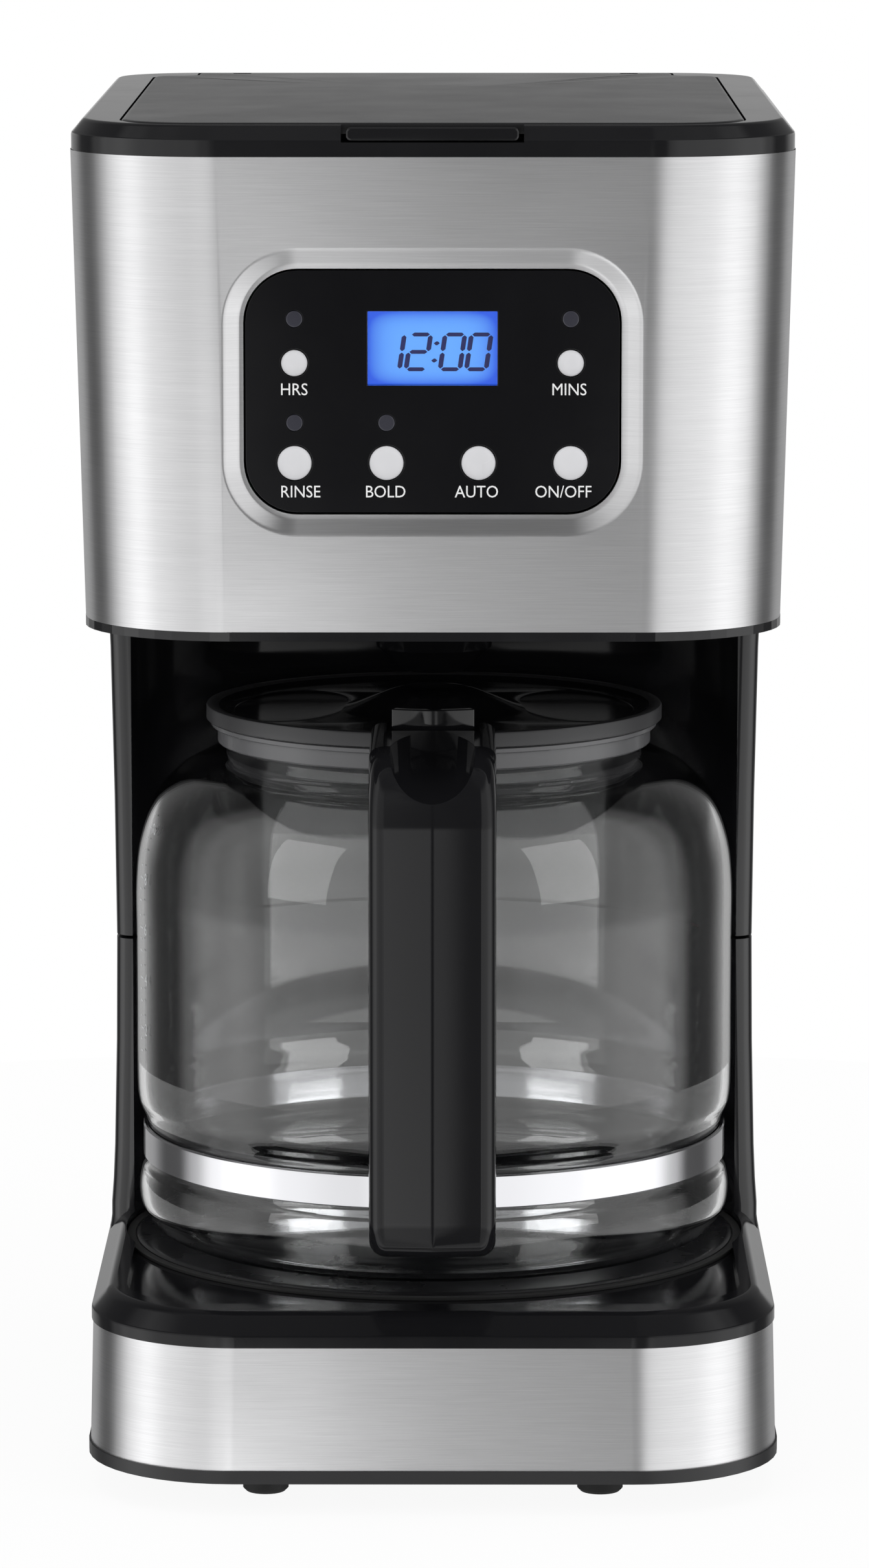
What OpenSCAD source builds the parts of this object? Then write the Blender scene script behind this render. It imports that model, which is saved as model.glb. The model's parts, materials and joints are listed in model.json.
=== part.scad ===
// Drip coffee maker: machine, glass carafe, brew basket and their working parts.
// Millimetres, +Z up, front towards -Y, x = 0 on the middle plane.
// The origin lies on the table, under the middle of the part's own box.

/* [Plan] */
// Reach from the carafe's recess to the side of the head band's top edge
side_reach = 8; // [7:0.1:10]
// How much narrower the head band is at its bottom edge, each side
head_taper = 3; // [0:0.5:5]
// How far the base band's bottom edge stands inside the head's side, each side
base_inset = 2.7; // [1:0.1:3]
// How much narrower the base band is at its top edge, each side
base_taper = 0.8; // [0:0.1:2]
// How far the column's waist stands inside the head's side, each side
waist_inset = 5.5; // [5:0.1:6]
// Reach from the carafe axis to the front of the machine
front_reach = 106; // [104:1:110]
// Reach from the carafe axis to the back of the machine
rear_reach = 132; // [130:1:150]
// Reach from the carafe axis to the front of the carafe handle
handle_reach = 118; // [116:0.5:124]
// Front corner radius in plan
corner_r = 36.5; // [34:0.5:44]
// Rear corner radius in plan
rear_r = 25; // [15:1:32]

/* [Heights] */
// Height of the rubber feet
foot_h = 8; // [6:0.5:12]
// Height of the pan's visible rim
pan_rim_h = 3.2; // [2.5:0.1:5]
// Height of the steel base band
base_band_h = 31; // [26:0.5:38]
// Height of the deck's upright edge
deck_edge_h = 3.2; // [2.5:0.1:5]
// Rise from the deck's edge to its ridge
ridge_rise = 5.6; // [4.5:0.1:6.5]
// Depth of the basin below the ridge
basin_depth = 3; // [2:0.1:3.2]
// Height of the lower column housing above the deck's edge
column_low_h = 77.6; // [70:0.2:84]
// Height of the head's bottom trim
trim_h = 2.2; // [2:0.1:4]
// Height of the steel head band
head_band_h = 114.4; // [110:0.2:120]
// Height of the top frame's upright edge
frame_edge_h = 3.9; // [3:0.1:5]
// Rise of the top frame's bevel
frame_bevel_h = 3.7; // [3:0.1:5]
// Rise of the lid above the frame's front edge at its crown
lid_crown = 2; // [0.5:0.1:3]

/* [Walls] */
// Wall of the moulded housings
wall = 2.4; // [2:0.1:3]
// Thickness of the steel bands
steel_t = 0.8; // [0.6:0.1:1]
// Gap between a moving piece and its neighbour
move_gap = 0.4; // [0.3:0.05:0.6]
// Gap between fixed pieces that are assembled side by side
fit_gap = 0.3; // [0.2:0.05:0.5]

/* [Carafe] */
// Radius of the glass body
glass_r = 76.8; // [75.8:0.1:77.2]
// Glass wall
glass_t = 2; // [1.5:0.1:2.5]
// Radius of the neck
neck_r = 53.4; // [50:0.2:55]
// Height from the plate to the top of the neck
glass_h = 129; // [127:0.5:131]
// Height of the chrome band
chrome_h = 8.4; // [7:0.1:10]
// Height from the plate to the chrome band
chrome_up = 20.4; // [18:0.1:22]
// Radius of the carafe lid
carafe_lid_r = 58.5; // [57:0.5:60]
// Height of the carafe lid's rim
lid_rim_h = 5.6; // [4:0.1:6]
// Rise of the carafe lid's hub above its rim
hub_rise = 3.8; // [3:0.1:5]
// Width of the handle
grip_w = 31; // [27:0.5:34]
// Depth of the handle's grip, front to back
grip_d = 18; // [15:0.5:20]
// Width of the thumb lever
lever_w = 22; // [18:0.5:23]

/* [Brewing] */
// Rim radius of the brew basket
basket_r = 57; // [52:0.5:58]
// Height of the brew basket above its floor
basket_h = 72; // [66:0.5:74]
// Radius of the outlet's lower end
outlet_r = 8; // [7:0.1:9]
// Gap between the carafe lid's hub and the outlet
outlet_gap = 4.6; // [4:0.1:6]
// How far the outlet hangs below the head
outlet_hang = 20.8; // [18:0.1:24]
// Outer radius of the riser tube
riser_r = 4.5; // [4:0.1:5]
// Radius of the shower head
shower_r = 24; // [18:0.5:28]
// Travel of the drip valve
valve_travel = 3; // [2:0.1:3.4]
// Number of turns of the valve spring
spring_turns = 5; // [4:1:7]

/* [Controls] */
// Width of the control panel
panel_w = 90; // [88:0.5:94]
// Height of the control panel
panel_h = 58.4; // [57:0.2:60]
// Height of the panel's middle above the head band's lower edge
panel_up = 58; // [54:0.5:62]
// Width of the stamped slope around the panel
slope_w = 5.7; // [4:0.1:8]
// Depth of the panel behind the band's face
panel_set = 2.4; // [1.5:0.1:3]
// Radius of the four large buttons
button_r = 4.1; // [3.6:0.1:4.6]
// Radius of the two small buttons
button_small_r = 3.15; // [2.8:0.05:3.6]
// Reach from the panel's side to the middle of its outer buttons
button_margin = 11.775; // [10:0.025:14]
// How far a button stands proud of the panel
button_proud = 1.2; // [0.8:0.1:1.6]
// Width of the display window
window_w = 31.2; // [28:0.2:36]
// Height of the display window
window_h = 17.8; // [16:0.2:19]
// Radius of the indicator lights
light_r = 2; // [1.6:0.1:2.4]

/* [Hidden] */
$fn = 96;

// Plan: the part's box runs from the handle's front to the pan's rim at the back.
pan_proud = 0.5;
axis_y = (handle_reach - rear_reach - pan_proud) / 2;
front_y = axis_y - front_reach;
rear_y = axis_y + rear_reach;
cheek_y = axis_y + 17;
recess_r = glass_r + 3.7;

// Heights of the stacked pieces.
pan_z = foot_h;
band_z = pan_z + pan_rim_h;
deck_z = band_z + base_band_h;
edge_z = deck_z + deck_edge_h;
ridge_z = edge_z + ridge_rise;
basin_z = ridge_z - basin_depth;
plate_z = basin_z + 1.5;
glass_z = plate_z + fit_gap;
chrome_z = glass_z + chrome_up;
glass_top = glass_z + glass_h;
rim_z = glass_top + 3.1;
lid_z = rim_z + 1.4 + fit_gap;
lid_top = lid_z + lid_rim_h - 1.6;
hub_top = lid_top + hub_rise;
outlet_z = hub_top + outlet_gap;
seam_z = edge_z + column_low_h;
trim_z = outlet_z + outlet_hang;
column_up_h = trim_z - seam_z;
head_z = trim_z + trim_h;
frame_z = head_z + head_band_h;
frame_top_z = frame_z + frame_edge_h + frame_bevel_h;
lid_top_z = frame_top_z + lid_crown;

// Widths, as half widths.
head_hw = recess_r + side_reach;
head_low_hw = head_hw - head_taper;
base_hw = head_hw - base_inset;
deck_hw = base_hw - base_taper;
waist_hw = head_hw - waist_inset;
deck_proud = 0.4;

// Colours.
black = [0.09, 0.09, 0.1];
dark = [0.16, 0.16, 0.17];
steel = [0.7, 0.7, 0.71];
chrome = [0.86, 0.86, 0.88];
rubber = [0.07, 0.07, 0.07];
clear = [0.85, 0.9, 0.92, 0.35];
smoke = [0.35, 0.37, 0.4, 0.6];

// ---- Outlines and lofts -------------------------------------------------

function arc(cx, cy, r, a0, a1, n) =
    [for (i = [0:n]) let (a = a0 + (a1 - a0) * i / n) [cx + r * cos(a), cy + r * sin(a)]];

// Rounded plan outline, counter-clockwise from the front right corner.
function plan(hw, y0, y1, rf, rr, n = 12) = concat(
    arc(hw - rf, y0 + rf, rf, -90, 0, n),
    arc(hw - rr, y1 - rr, rr, 0, 90, n),
    arc(rr - hw, y1 - rr, rr, 90, 180, n),
    arc(rf - hw, y0 + rf, rf, 180, 270, n));

// The machine's outline at a half width, drawn in by an inset.
function machine(hw, inset = 0) =
    plan(hw - inset, front_y + inset, rear_y - inset, corner_r - inset, rear_r - inset);

// The column's outline: it starts at the cheeks, beside the carafe.
function column(hw, inset = 0) =
    plan(hw - inset, cheek_y + inset, rear_y - inset, 5 - inset, rear_r - inset);

function at_z(points, z) = [for (p = points) [p[0], p[1], z]];
function at_y(points, y) = [for (p = points) [p[0], y, p[1]]];

// Walls between neighbouring rings of points; a closed loop of rings is a hollow band.
function walls(n, from, to) = [for (i = [0:n - 1]) let (j = (i + 1) % n)
    each [[from + i, to + i, to + j], [from + i, to + j, from + j]]];

module loft(rings) {
    n = len(rings[0]);
    m = len(rings);
    polyhedron(points = [for (r = rings) each r],
        faces = concat([[for (i = [0:n - 1]) i]],
            [for (k = [0:m - 2]) each walls(n, k * n, (k + 1) * n)],
            [[for (i = [n - 1:-1:0]) (m - 1) * n + i]]));
}

module loft_loop(rings) {
    n = len(rings[0]);
    m = len(rings);
    polyhedron(points = [for (r = rings) each r],
        faces = [for (k = [0:m - 1]) each walls(n, k * n, ((k + 1) % m) * n)]);
}

// Upright slab of a plan outline.
module slab(points, z0, z1) translate([0, 0, z0]) linear_extrude(z1 - z0) polygon(points);

// Upright ring between an outline and the same outline drawn in.
module slab_ring(outer, inner, z0, z1) translate([0, 0, z0]) linear_extrude(z1 - z0)
    difference() { polygon(outer); polygon(inner); }

// Rod along +Y, used for everything on the control panel.
module rod_y(r, y0, y1, x = 0, z = 0) translate([x, y0, z]) rotate([-90, 0, 0])
    cylinder(r = r, h = y1 - y0);

// Rod along +X, centred.
module rod_x(r, length, y, z, x = 0) translate([x - length / 2, y, z]) rotate([0, 90, 0])
    cylinder(r = r, h = length);

// Round tube or rod swept along a smooth curve through a few points.
function curve_point(p, i, t) = let (
        a = p[max(i - 1, 0)], b = p[i], c = p[i + 1], d = p[min(i + 2, len(p) - 1)])
    0.5 * ((2 * b) + (c - a) * t + (2 * a - 5 * b + 4 * c - d) * t * t
        + (3 * b - a - 3 * c + d) * t * t * t);
function curve(p, n) = concat(
    [for (i = [0:len(p) - 2]) for (k = [0:n - 1]) curve_point(p, i, k / n)], [p[len(p) - 1]]);
function unit(v) = v / norm(v);
function tangent(p, i) = unit(p[min(i + 1, len(p) - 1)] - p[max(i - 1, 0)]);
function sweep_ring(p, i, r, side, n) = let (
        t = tangent(p, i), u = unit(cross(t, side)), v = cross(t, u))
    [for (k = [0:n - 1]) p[i] + r * (cos(360 * k / n) * u + sin(360 * k / n) * v)];
module sweep(p, r, side, n = 12) loft([for (i = [0:len(p) - 1]) sweep_ring(p, i, r, side, n)]);

// Rounded rectangle outline about the origin.
function rounded(w, h, r, n = 8) = plan(w / 2, -h / 2, h / 2, r, r, n);

// ---- Base ----------------------------------------------------------------

foot_r = 5.7;
foot_stem_r = 3;
foot_front = [base_hw - 44.1, front_y + 26];
foot_rear = [base_hw - 33.8, rear_y - 22];
foot_places = [for (s = [-1, 1], f = [foot_front, foot_rear]) [s * f[0], f[1]]];

module rubber_feet() color(rubber)
    for (f = foot_places) translate([f[0], f[1], 0]) {
        rotate_extrude() polygon([[0, 0], [foot_r - 0.8, 0], [foot_r, 0.8],
            [foot_r, foot_h], [foot_stem_r, foot_h],
            [foot_stem_r, foot_h + wall + 1], [0, foot_h + wall + 1]]);
    }

post_r = 4.5;
screw_r = 1.5;
post_top = deck_z - 6;
post_low = pan_z + 12;
post_front = [base_hw - 25.8, front_y + 34];
post_rear = [base_hw - 23.8, rear_y - 26];
post_places = [for (s = [-1, 1], f = [post_front, post_rear]) [s * f[0], f[1]]];

// Ring inside the base band that follows its lean, between two heights.
ring_h = 8;
skirt_h = 6;
ring_gap = steel_t + fit_gap + 0.8;
function band_hw(z) = base_hw - base_taper * (z - band_z) / base_band_h;
module band_ring(z0, z1) loft_loop([
    at_z(machine(band_hw(z0), ring_gap), z0), at_z(machine(band_hw(z1), ring_gap), z1),
    at_z(machine(band_hw(z1), ring_gap + wall), z1), at_z(machine(band_hw(z0), ring_gap + wall), z0)]);

module base_pan() color(black) difference() {
    union() {
        slab(machine(base_hw, -pan_proud), pan_z, band_z);
        band_ring(band_z, band_z + ring_h);
        for (p = post_places) translate([p[0], p[1], band_z]) cylinder(r = post_r, h = post_low - band_z);
    }
    difference() {
        slab(machine(base_hw, ring_gap + wall), pan_z + wall, band_z);
        for (p = post_places) translate([p[0], p[1], 0]) cylinder(r = post_r, h = band_z + 1);
    }
    for (f = foot_places) translate([f[0], f[1], pan_z - 1]) cylinder(r = foot_stem_r + 0.05, h = 20);
    for (p = post_places) translate([p[0], p[1], 0]) {
        cylinder(r = 3.4, h = pan_z + 2.2);
        cylinder(r = screw_r + 0.1, h = post_top);
    }
    for (i = [-4:4]) translate([i * 9 - 2, axis_y - 20, pan_z - 1]) cube([4, 40, wall + 2]);
}

module base_band() color(steel) loft_loop([
    at_z(machine(base_hw), band_z), at_z(machine(deck_hw), deck_z),
    at_z(machine(deck_hw, steel_t), deck_z), at_z(machine(base_hw, steel_t), band_z)]);

plate_r = glass_r + 0.4;
plate_hole_r = glass_r;
gasket_r = recess_r - 0.8;
plate_t = 1;
ridge_w = 5.4;
basin_in = ridge_w + 3.2;
// Opening under the column for hoses and wires.
duct = [2 * (waist_hw - 28), 34];

module base_deck() color(black) difference() {
    union() {
        slab(machine(deck_hw, -deck_proud), deck_z, edge_z);
        intersection() {
            loft([at_z(machine(deck_hw, -deck_proud), edge_z),
                at_z(machine(deck_hw, ridge_w - 1.6), edge_z + ridge_rise * 0.75),
                at_z(machine(deck_hw, ridge_w), ridge_z)]);
            translate([-200, -200, edge_z]) cube([400, 200 + cheek_y - 0.1, 30]);
        }
        band_ring(deck_z - skirt_h, deck_z + 1);
        for (p = post_places) translate([p[0], p[1], post_low]) cylinder(r = post_r, h = deck_z - post_low);
    }
    intersection() {
        union() {
            slab(plan(deck_hw - basin_in, front_y + basin_in + 4, cheek_y + 30, corner_r - basin_in - 4, 5),
                basin_z, ridge_z + 1);
            translate([0, axis_y, basin_z]) cylinder(r = recess_r - 0.5, h = 10);
        }
        translate([-200, -200, 0]) cube([400, 200 + cheek_y - 0.1, 100]);
    }
    difference() {
        slab(machine(deck_hw, 3.4), deck_z - 1, edge_z - wall + 1);
        for (p = post_places) translate([p[0], p[1], deck_z - 2]) cylinder(r = post_r, h = 20);
        band_ring(deck_z - skirt_h, deck_z + 1);
    }
    translate([0, axis_y, 0]) cylinder(r = plate_hole_r, h = 100);
    translate([-duct[0] / 2, axis_y + plate_hole_r + 6, 0]) cube([duct[0], duct[1], 100]);
    for (p = post_places) translate([p[0], p[1], 0]) cylinder(r = screw_r + 0.1, h = post_top);
}

module warming_plate() color(dark) translate([0, axis_y, 0]) rotate_extrude($fn = 160)
    polygon([[0, plate_z - plate_t], [plate_r, plate_z - plate_t], [plate_r, plate_z - 0.5],
        [plate_r - 0.5, plate_z], [0, plate_z]]);

module plate_gasket() color(rubber) translate([0, axis_y, 0]) rotate_extrude($fn = 160)
    polygon([[plate_hole_r - 2.3, basin_z - 1.4], [plate_hole_r - 0.2, basin_z - 1.4],
        [plate_hole_r - 0.2, basin_z], [gasket_r, basin_z], [gasket_r, basin_z + 0.9],
        [plate_r + 0.3, basin_z + 0.9], [plate_r + 0.3, plate_z - plate_t],
        [plate_hole_r - 2.3, plate_z - plate_t]]);

heater_r = plate_r - 25.2;
heater_half = 5;
heater_top = plate_z - plate_t;
heater_mid = heater_top - heater_half;
heater_gap = 25; // half angle left open at the back
heater_end = [heater_r * sin(heater_gap), axis_y + heater_r * cos(heater_gap), heater_mid];
hose_r = 4.8;
hose_bore = 3.6;
hose_start = 5.2;
spigot_l = 14;

// Horseshoe element: the water tube and the heating rod share one casting.
module heater_tube() color([0.75, 0.76, 0.78]) {
    translate([0, axis_y, heater_mid]) rotate([0, 0, 90 + heater_gap])
        rotate_extrude(angle = 360 - 2 * heater_gap) translate([heater_r, 0]) {
            circle(r = heater_half, $fn = 32);
            translate([-4, 0]) square([8, heater_half]);
        }
    for (s = [-1, 1]) rod_y(hose_bore - 0.02, heater_end[1] - 3, heater_end[1] + spigot_l,
        s * heater_end[0], heater_mid);
}

module thermostat() color([0.8, 0.78, 0.72]) translate([0, axis_y, heater_top]) {
    translate([0, 0, -6]) cylinder(r = 8, h = 6);
    for (s = [-1, 1]) translate([s * 4 - 0.8, -0.4, -12]) cube([1.6, 0.8, 6.5]);
}

module thermal_fuses() color([0.85, 0.8, 0.68])
    for (s = [-1, 1]) rod_x(2.2, 20, axis_y - heater_r + s * 2.5, heater_mid - heater_half - 2, 0);

// ---- Column --------------------------------------------------------------

column_levels = [[edge_z, deck_hw + deck_proud - 0.1], [edge_z + 6.6, waist_hw + 1.8],
    [edge_z + 13, waist_hw + 1.3], [edge_z + 22, waist_hw + 0.9], [edge_z + 50, waist_hw + 0.25],
    [seam_z, waist_hw], [seam_z + 0.4 * column_up_h, waist_hw + 0.4],
    [seam_z + 0.81 * column_up_h, waist_hw + 1.2],
    [trim_z, head_low_hw - 0.6]];
levels_low = [for (l = column_levels) if (l[0] <= seam_z) l];
levels_up = [for (l = column_levels) if (l[0] >= seam_z) l];

module column_shell(levels) {
    z0 = levels[0][0];
    z1 = levels[len(levels) - 1][0];
    difference() {
        loft([for (l = levels) at_z(column(l[1]), l[0])]);
        difference() {
            loft([for (l = levels) at_z(column(l[1], wall),
                l[0] + (l[0] == z0 ? -1 : 0) + (l[0] == z1 ? 1 : 0))]);
            translate([0, axis_y, z0 - 2]) cylinder(r = recess_r + wall, h = z1 - z0 + 4, $fn = 160);
        }
        translate([0, axis_y, z0 - 2]) cylinder(r = recess_r, h = z1 - z0 + 4, $fn = 160);
    }
}

cover_w = 2 * (waist_hw - 27);
cover_low = edge_z + 8;
cover_top = trim_z - 8;
cover_in = rear_y - wall - 0.6;
tank_x = [-waist_hw + 5, waist_hw - 13];
tank_front_r = recess_r + wall + 1.4;
tank_wall = 2;
tank_z = seam_z;
tank_top = frame_z - 9;
spout = [-30, axis_y + recess_r + 24.5];
riser = [waist_hw - 35, axis_y + recess_r + 12.5];
spout_r = 5;
grommet_r = riser_r + 2;
wire_place = [waist_hw - 8.5, axis_y + recess_r - 10.5];

module column_lower() color(black) {
    difference() {
        union() {
            column_shell(levels_low);
            intersection() {
                slab(column(waist_hw, 1), seam_z - wall, seam_z);
                difference() {
                    translate([-200, -200, 0]) cube([400, 200 + cover_in - 1.3, 400]);
                    translate([0, axis_y, 0]) cylinder(r = recess_r + 1, h = 400, $fn = 160);
                }
            }
        }
        translate([spout[0], spout[1], 0]) cylinder(r = spout_r + 1.5, h = 300);
        translate([riser[0], riser[1], 0]) cylinder(r = riser_r + 0.4, h = 300);
        translate([wire_place[0], wire_place[1], seam_z - 10]) cylinder(r = 4, h = 40);
        translate([-cover_w / 2, rear_y - wall - 1, cover_low]) cube([cover_w, 10, 200]);
    }
}

module column_upper() color(black) difference() {
    column_shell(levels_up);
    translate([-cover_w / 2, rear_y - wall - 1, cover_low]) cube([cover_w, 10, cover_top - cover_low]);
}

gland_place = [waist_hw - 39, 22];
module rear_cover() color(black) difference() {
    union() {
        translate([-cover_w / 2 + fit_gap, cover_in, cover_low + fit_gap])
            cube([cover_w - 2 * fit_gap, rear_y - cover_in, cover_top - cover_low - 2 * fit_gap]);
        translate([-cover_w / 2 - 2, cover_in - 1.2, cover_low - 4])
            cube([cover_w + 4, rear_y - wall - 0.05 - cover_in + 1.2, cover_top - cover_low + 8]);
    }
    for (i = [0:6]) translate([-30, rear_y - 10, cover_low + 12 + i * 6]) cube([60, 20, 2.4]);
    translate([gland_place[0], rear_y, cover_low + gland_place[1]]) rotate([90, 0, 0])
        cylinder(r = gland_r + 0.1, h = 20, center = true);
}

gland_r = 5;
module cord_gland() color(rubber) difference() {
    union() {
        rod_y(gland_r, cover_in - 5, rear_y - 0.2, gland_place[0], cover_low + gland_place[1]);
        rod_y(gland_r + 2.5, cover_in - 3.6, cover_in - 1.2, gland_place[0], cover_low + gland_place[1]);
    }
    rod_y(3, cover_in - 8, rear_y + 1, gland_place[0], cover_low + gland_place[1]);
}

board_y = axis_y + recess_r + 15.5;
board_w = 44;
module power_board() color([0.16, 0.4, 0.22]) {
    translate([-board_w / 2, board_y + 12, edge_z + 16]) cube([board_w, 1.6, 44]);
    translate([-18, board_y - 2, edge_z + 22]) cube([18, 14, 20]);
    translate([3, board_y, edge_z + 24]) cube([14, 12, 16]);
    for (s = [-1, 1], h = [4, 38]) rod_y(3, board_y + 13.6, cover_in - 1.2, s * 18, edge_z + 17 + h);
}

valve_z = [seam_z - 34, seam_z - 12];
module check_valve() color([0.85, 0.86, 0.86]) translate([spout[0], spout[1], 0]) {
    translate([0, 0, valve_z[0]]) cylinder(r = 7, h = valve_z[1] - valve_z[0]);
    translate([0, 0, valve_z[0] - 8]) cylinder(r = hose_bore - 0.02, h = 9);
    translate([0, 0, valve_z[1]]) cylinder(r = spout_r - 1, h = 4);
}

// From the pipe above, down through the duct, under the deck and up to the heater's end.
function hose_route(x, y, z) = curve([[x, y, z], [x, y, edge_z + 12], [x, y - 3, deck_z - 4],
    [x * 0.8 + sign(x) * 2, y - 16, deck_z - 12], [sign(x) * heater_end[0], heater_end[1] + 19, deck_z - 6],
    [sign(x) * heater_end[0], heater_end[1] + hose_start + 7, heater_mid - 0.5],
    [sign(x) * heater_end[0], heater_end[1] + hose_start, heater_mid]], 6);

module hose(route, cut_low, cut_top) difference() {
    sweep(route, hose_r, [1, 0, 0]);
    for (s = [-1, 1]) translate([s * heater_end[0], heater_end[1] - 1, heater_mid])
        rotate([-90, 0, 0]) cylinder(r = hose_bore, h = spigot_l + 1);
    translate([route[0][0], route[0][1], cut_low]) cylinder(r = hose_bore, h = cut_top - cut_low);
}

module inlet_hose() color([0.8, 0.8, 0.78])
    hose(hose_route(spout[0], spout[1], valve_z[0] - 0.1), valve_z[0] - 8, valve_z[0] + 2);

riser_low = seam_z - 60;
riser_neck = 9.3;
riser_top = tank_top - 1;
module outlet_hose() color([0.8, 0.8, 0.78])
    hose(hose_route(riser[0], riser[1], riser_low + 9), riser_low, riser_low + 20);

module riser_tube() color([0.83, 0.84, 0.84]) difference() {
    union() {
        translate([riser[0], riser[1], riser_low]) cylinder(r = hose_bore - 0.02, h = 10);
        translate([riser[0], riser[1], riser_low + riser_neck])
            cylinder(r = riser_r, h = riser_top - riser_low - riser_neck);
    }
    translate([riser[0], riser[1], riser_low - 1]) cylinder(r = 2.6, h = 400);
}

// Tank outline: a concave front wall follows the recess, the back is straight.
function tank_plan(inset) = let (
        r = tank_front_r + inset,
        x0 = tank_x[0] + inset, x1 = tank_x[1] - inset,
        a0 = acos(x0 / r), a1 = acos(x1 / r),
        back = rear_y - wall - wall - 1.5 - inset, rr = rear_r - wall - 1.5 - inset)
    concat([for (i = [0:20]) let (a = a1 + (a0 - a1) * i / 20) [r * cos(a), axis_y + r * sin(a)]],
        arc(x0 + rr, back - rr, rr, 180, 90, 8), arc(x1 - rr, back - rr, rr, 90, 0, 8));

module water_tank() color(smoke) difference() {
    union() {
        slab(tank_plan(0), tank_z, tank_top);
        translate([spout[0], spout[1], valve_z[1] + 0.5])
            cylinder(r = spout_r + 0.8, h = tank_z - valve_z[1]);
    }
    slab(tank_plan(tank_wall), tank_z + tank_wall, tank_top + 1);
    translate([spout[0], spout[1], 0]) cylinder(r = spout_r - 1 + 0.1, h = tank_z + 10);
    translate([riser[0], riser[1], 0]) cylinder(r = grommet_r - 1, h = tank_z + 10);
}

module tank_grommet() color(rubber) translate([riser[0], riser[1], tank_z]) rotate_extrude()
    polygon([[riser_r + 0.05, 0], [grommet_r - 1.05, 0], [grommet_r - 1.05, tank_wall],
        [grommet_r + 1, tank_wall], [grommet_r + 1, tank_wall + 2], [riser_r + 0.05, tank_wall + 2]]);

// ---- Head ----------------------------------------------------------------

well_gap = 2.8;
well_r = basket_r + well_gap + wall;
floor_z = head_z + 4;
basket_floor_z = floor_z + wall + 1.5;
basket_top_z = basket_floor_z + basket_h;
basket_low_r = basket_r - 12;
well_low_r = basket_low_r + well_gap;
outlet_top_r = 14.7;
shower_z = tank_top + 1.6;

tray_inset = steel_t + fit_gap + 0.4;
module head_tray() color(black) difference() {
    union() {
        slab(machine(head_low_hw, -0.1), trim_z, head_z);
        slab_ring(machine(head_low_hw, tray_inset), machine(head_low_hw, tray_inset + wall),
            head_z, head_z + 5);
    }
    translate([0, axis_y, 0]) cylinder(r = basket_low_r + 8, h = 400);
    slab(tank_plan(-1), 0, 400);
    translate([wire_place[0], wire_place[1], 0]) cylinder(r = 4, h = 400);
}

module basket_well() color(black) translate([0, axis_y, 0]) rotate_extrude() {
    polygon([[outlet_top_r + 3, floor_z - 3], [well_low_r + wall, floor_z - 3],
        [well_low_r + 3.6, head_z], [well_low_r + 9, head_z], [well_low_r + 9, head_z + wall],
        [well_low_r + wall + 0.4, floor_z + wall], [well_r, basket_top_z - 6], [well_r, basket_top_z - 2],
        [well_r - wall, basket_top_z - 2], [well_r - wall, basket_top_z - 6],
        [well_low_r, floor_z + 0.8], [outlet_top_r + 3, floor_z + 0.8]]);
}

panel_x = panel_w / 2;
panel_z = head_z + panel_up;
panel_rad = 12.5;
panel_face = front_y + panel_set;
panel_t = 3;

// The panel's outline grown by a distance, standing on the plane y.
function frame_ring(grow, y) =
    at_y([for (p = rounded(panel_w + 2 * grow, panel_h + 2 * grow, panel_rad + grow))
        [p[0], p[1] + panel_z]], y);

// Steel wrap of the head with a stamped recess around the control panel.
module head_band() color(steel) {
    difference() {
        loft_loop([at_z(machine(head_low_hw), head_z), at_z(machine(head_hw), frame_z),
            at_z(machine(head_hw, steel_t), frame_z), at_z(machine(head_low_hw, steel_t), head_z)]);
        translate([0, front_y - 5, panel_z]) rotate([-90, 0, 0]) linear_extrude(10)
            polygon(rounded(panel_w + 2 * slope_w, panel_h + 2 * slope_w, panel_rad + slope_w));
    }
    loft_loop([frame_ring(slope_w + 0.2, front_y + steel_t), frame_ring(slope_w + 0.2, front_y + 0.1),
        frame_ring(fit_gap, panel_face), frame_ring(fit_gap, panel_face + steel_t)]);
}

rail_w = 13;
lid_w = 2 * (head_hw - rail_w);
lid_y0 = front_y + 6.5;
lid_t = 3.4;
lid_low_z = frame_top_z - lid_t;
hinge_y = rear_y - 12;
hinge_z = frame_top_z - 4.6;
barrel_r = 3.2;
barrel_w = 100;
lug_w = 4;
pin_r = 1.5;
pin_play = 0.05;
lid_y1 = hinge_y + 3.4;
lid_swing = 6.4;
lid_corner = 18;
shoulder_step = 11.5;
tail_w = lid_w - 2 * shoulder_step;
shoulder_y = hinge_y - 11;
shoulder_r = shoulder_step / 2;
tab_w = 41.4;
tab_h = 3.1;
tab_z = frame_z + frame_edge_h;
frame_top_in = 3.1;

// Lid outline, grown by g: its sides step in at the rear to a tail that swings between the
// frame's shoulders, which stand further back by a swing gap.
shoulder_gap = 1.3;
function lid_half(g, y1, back = 0) = concat(
    arc(lid_w / 2 - lid_corner, lid_y0 + lid_corner, lid_corner + g, -90, 0, 10),
    arc(lid_w / 2 - shoulder_r, shoulder_y - shoulder_r + back, shoulder_r + g, 0, 90, 6),
    arc(tail_w / 2 + shoulder_r, shoulder_y + shoulder_r + back, shoulder_r - g, 270, 180, 6),
    arc(tail_w / 2 + g - 2, y1 - 2, 2, 0, 90, 4));
function lid_plan(g, y1, back = 0) = let (h = lid_half(g, y1, back))
    concat(h, [for (i = [len(h) - 1:-1:0]) [-h[i][0], h[i][1]]]);
crown_share = [0.74, 0.78];

lug_r = 2.6;
slot_gap = move_gap + 0.6;
module lugs() for (s = [-1, 1]) translate([s * (barrel_w / 2 + move_gap + lug_w / 2), 0, 0]) {
    rod_x(lug_r, lug_w, hinge_y, hinge_z);
    translate([-lug_w / 2, hinge_y, hinge_z - lug_r]) cube([lug_w, lid_swing + 1, 2 * lug_r]);
}

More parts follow.
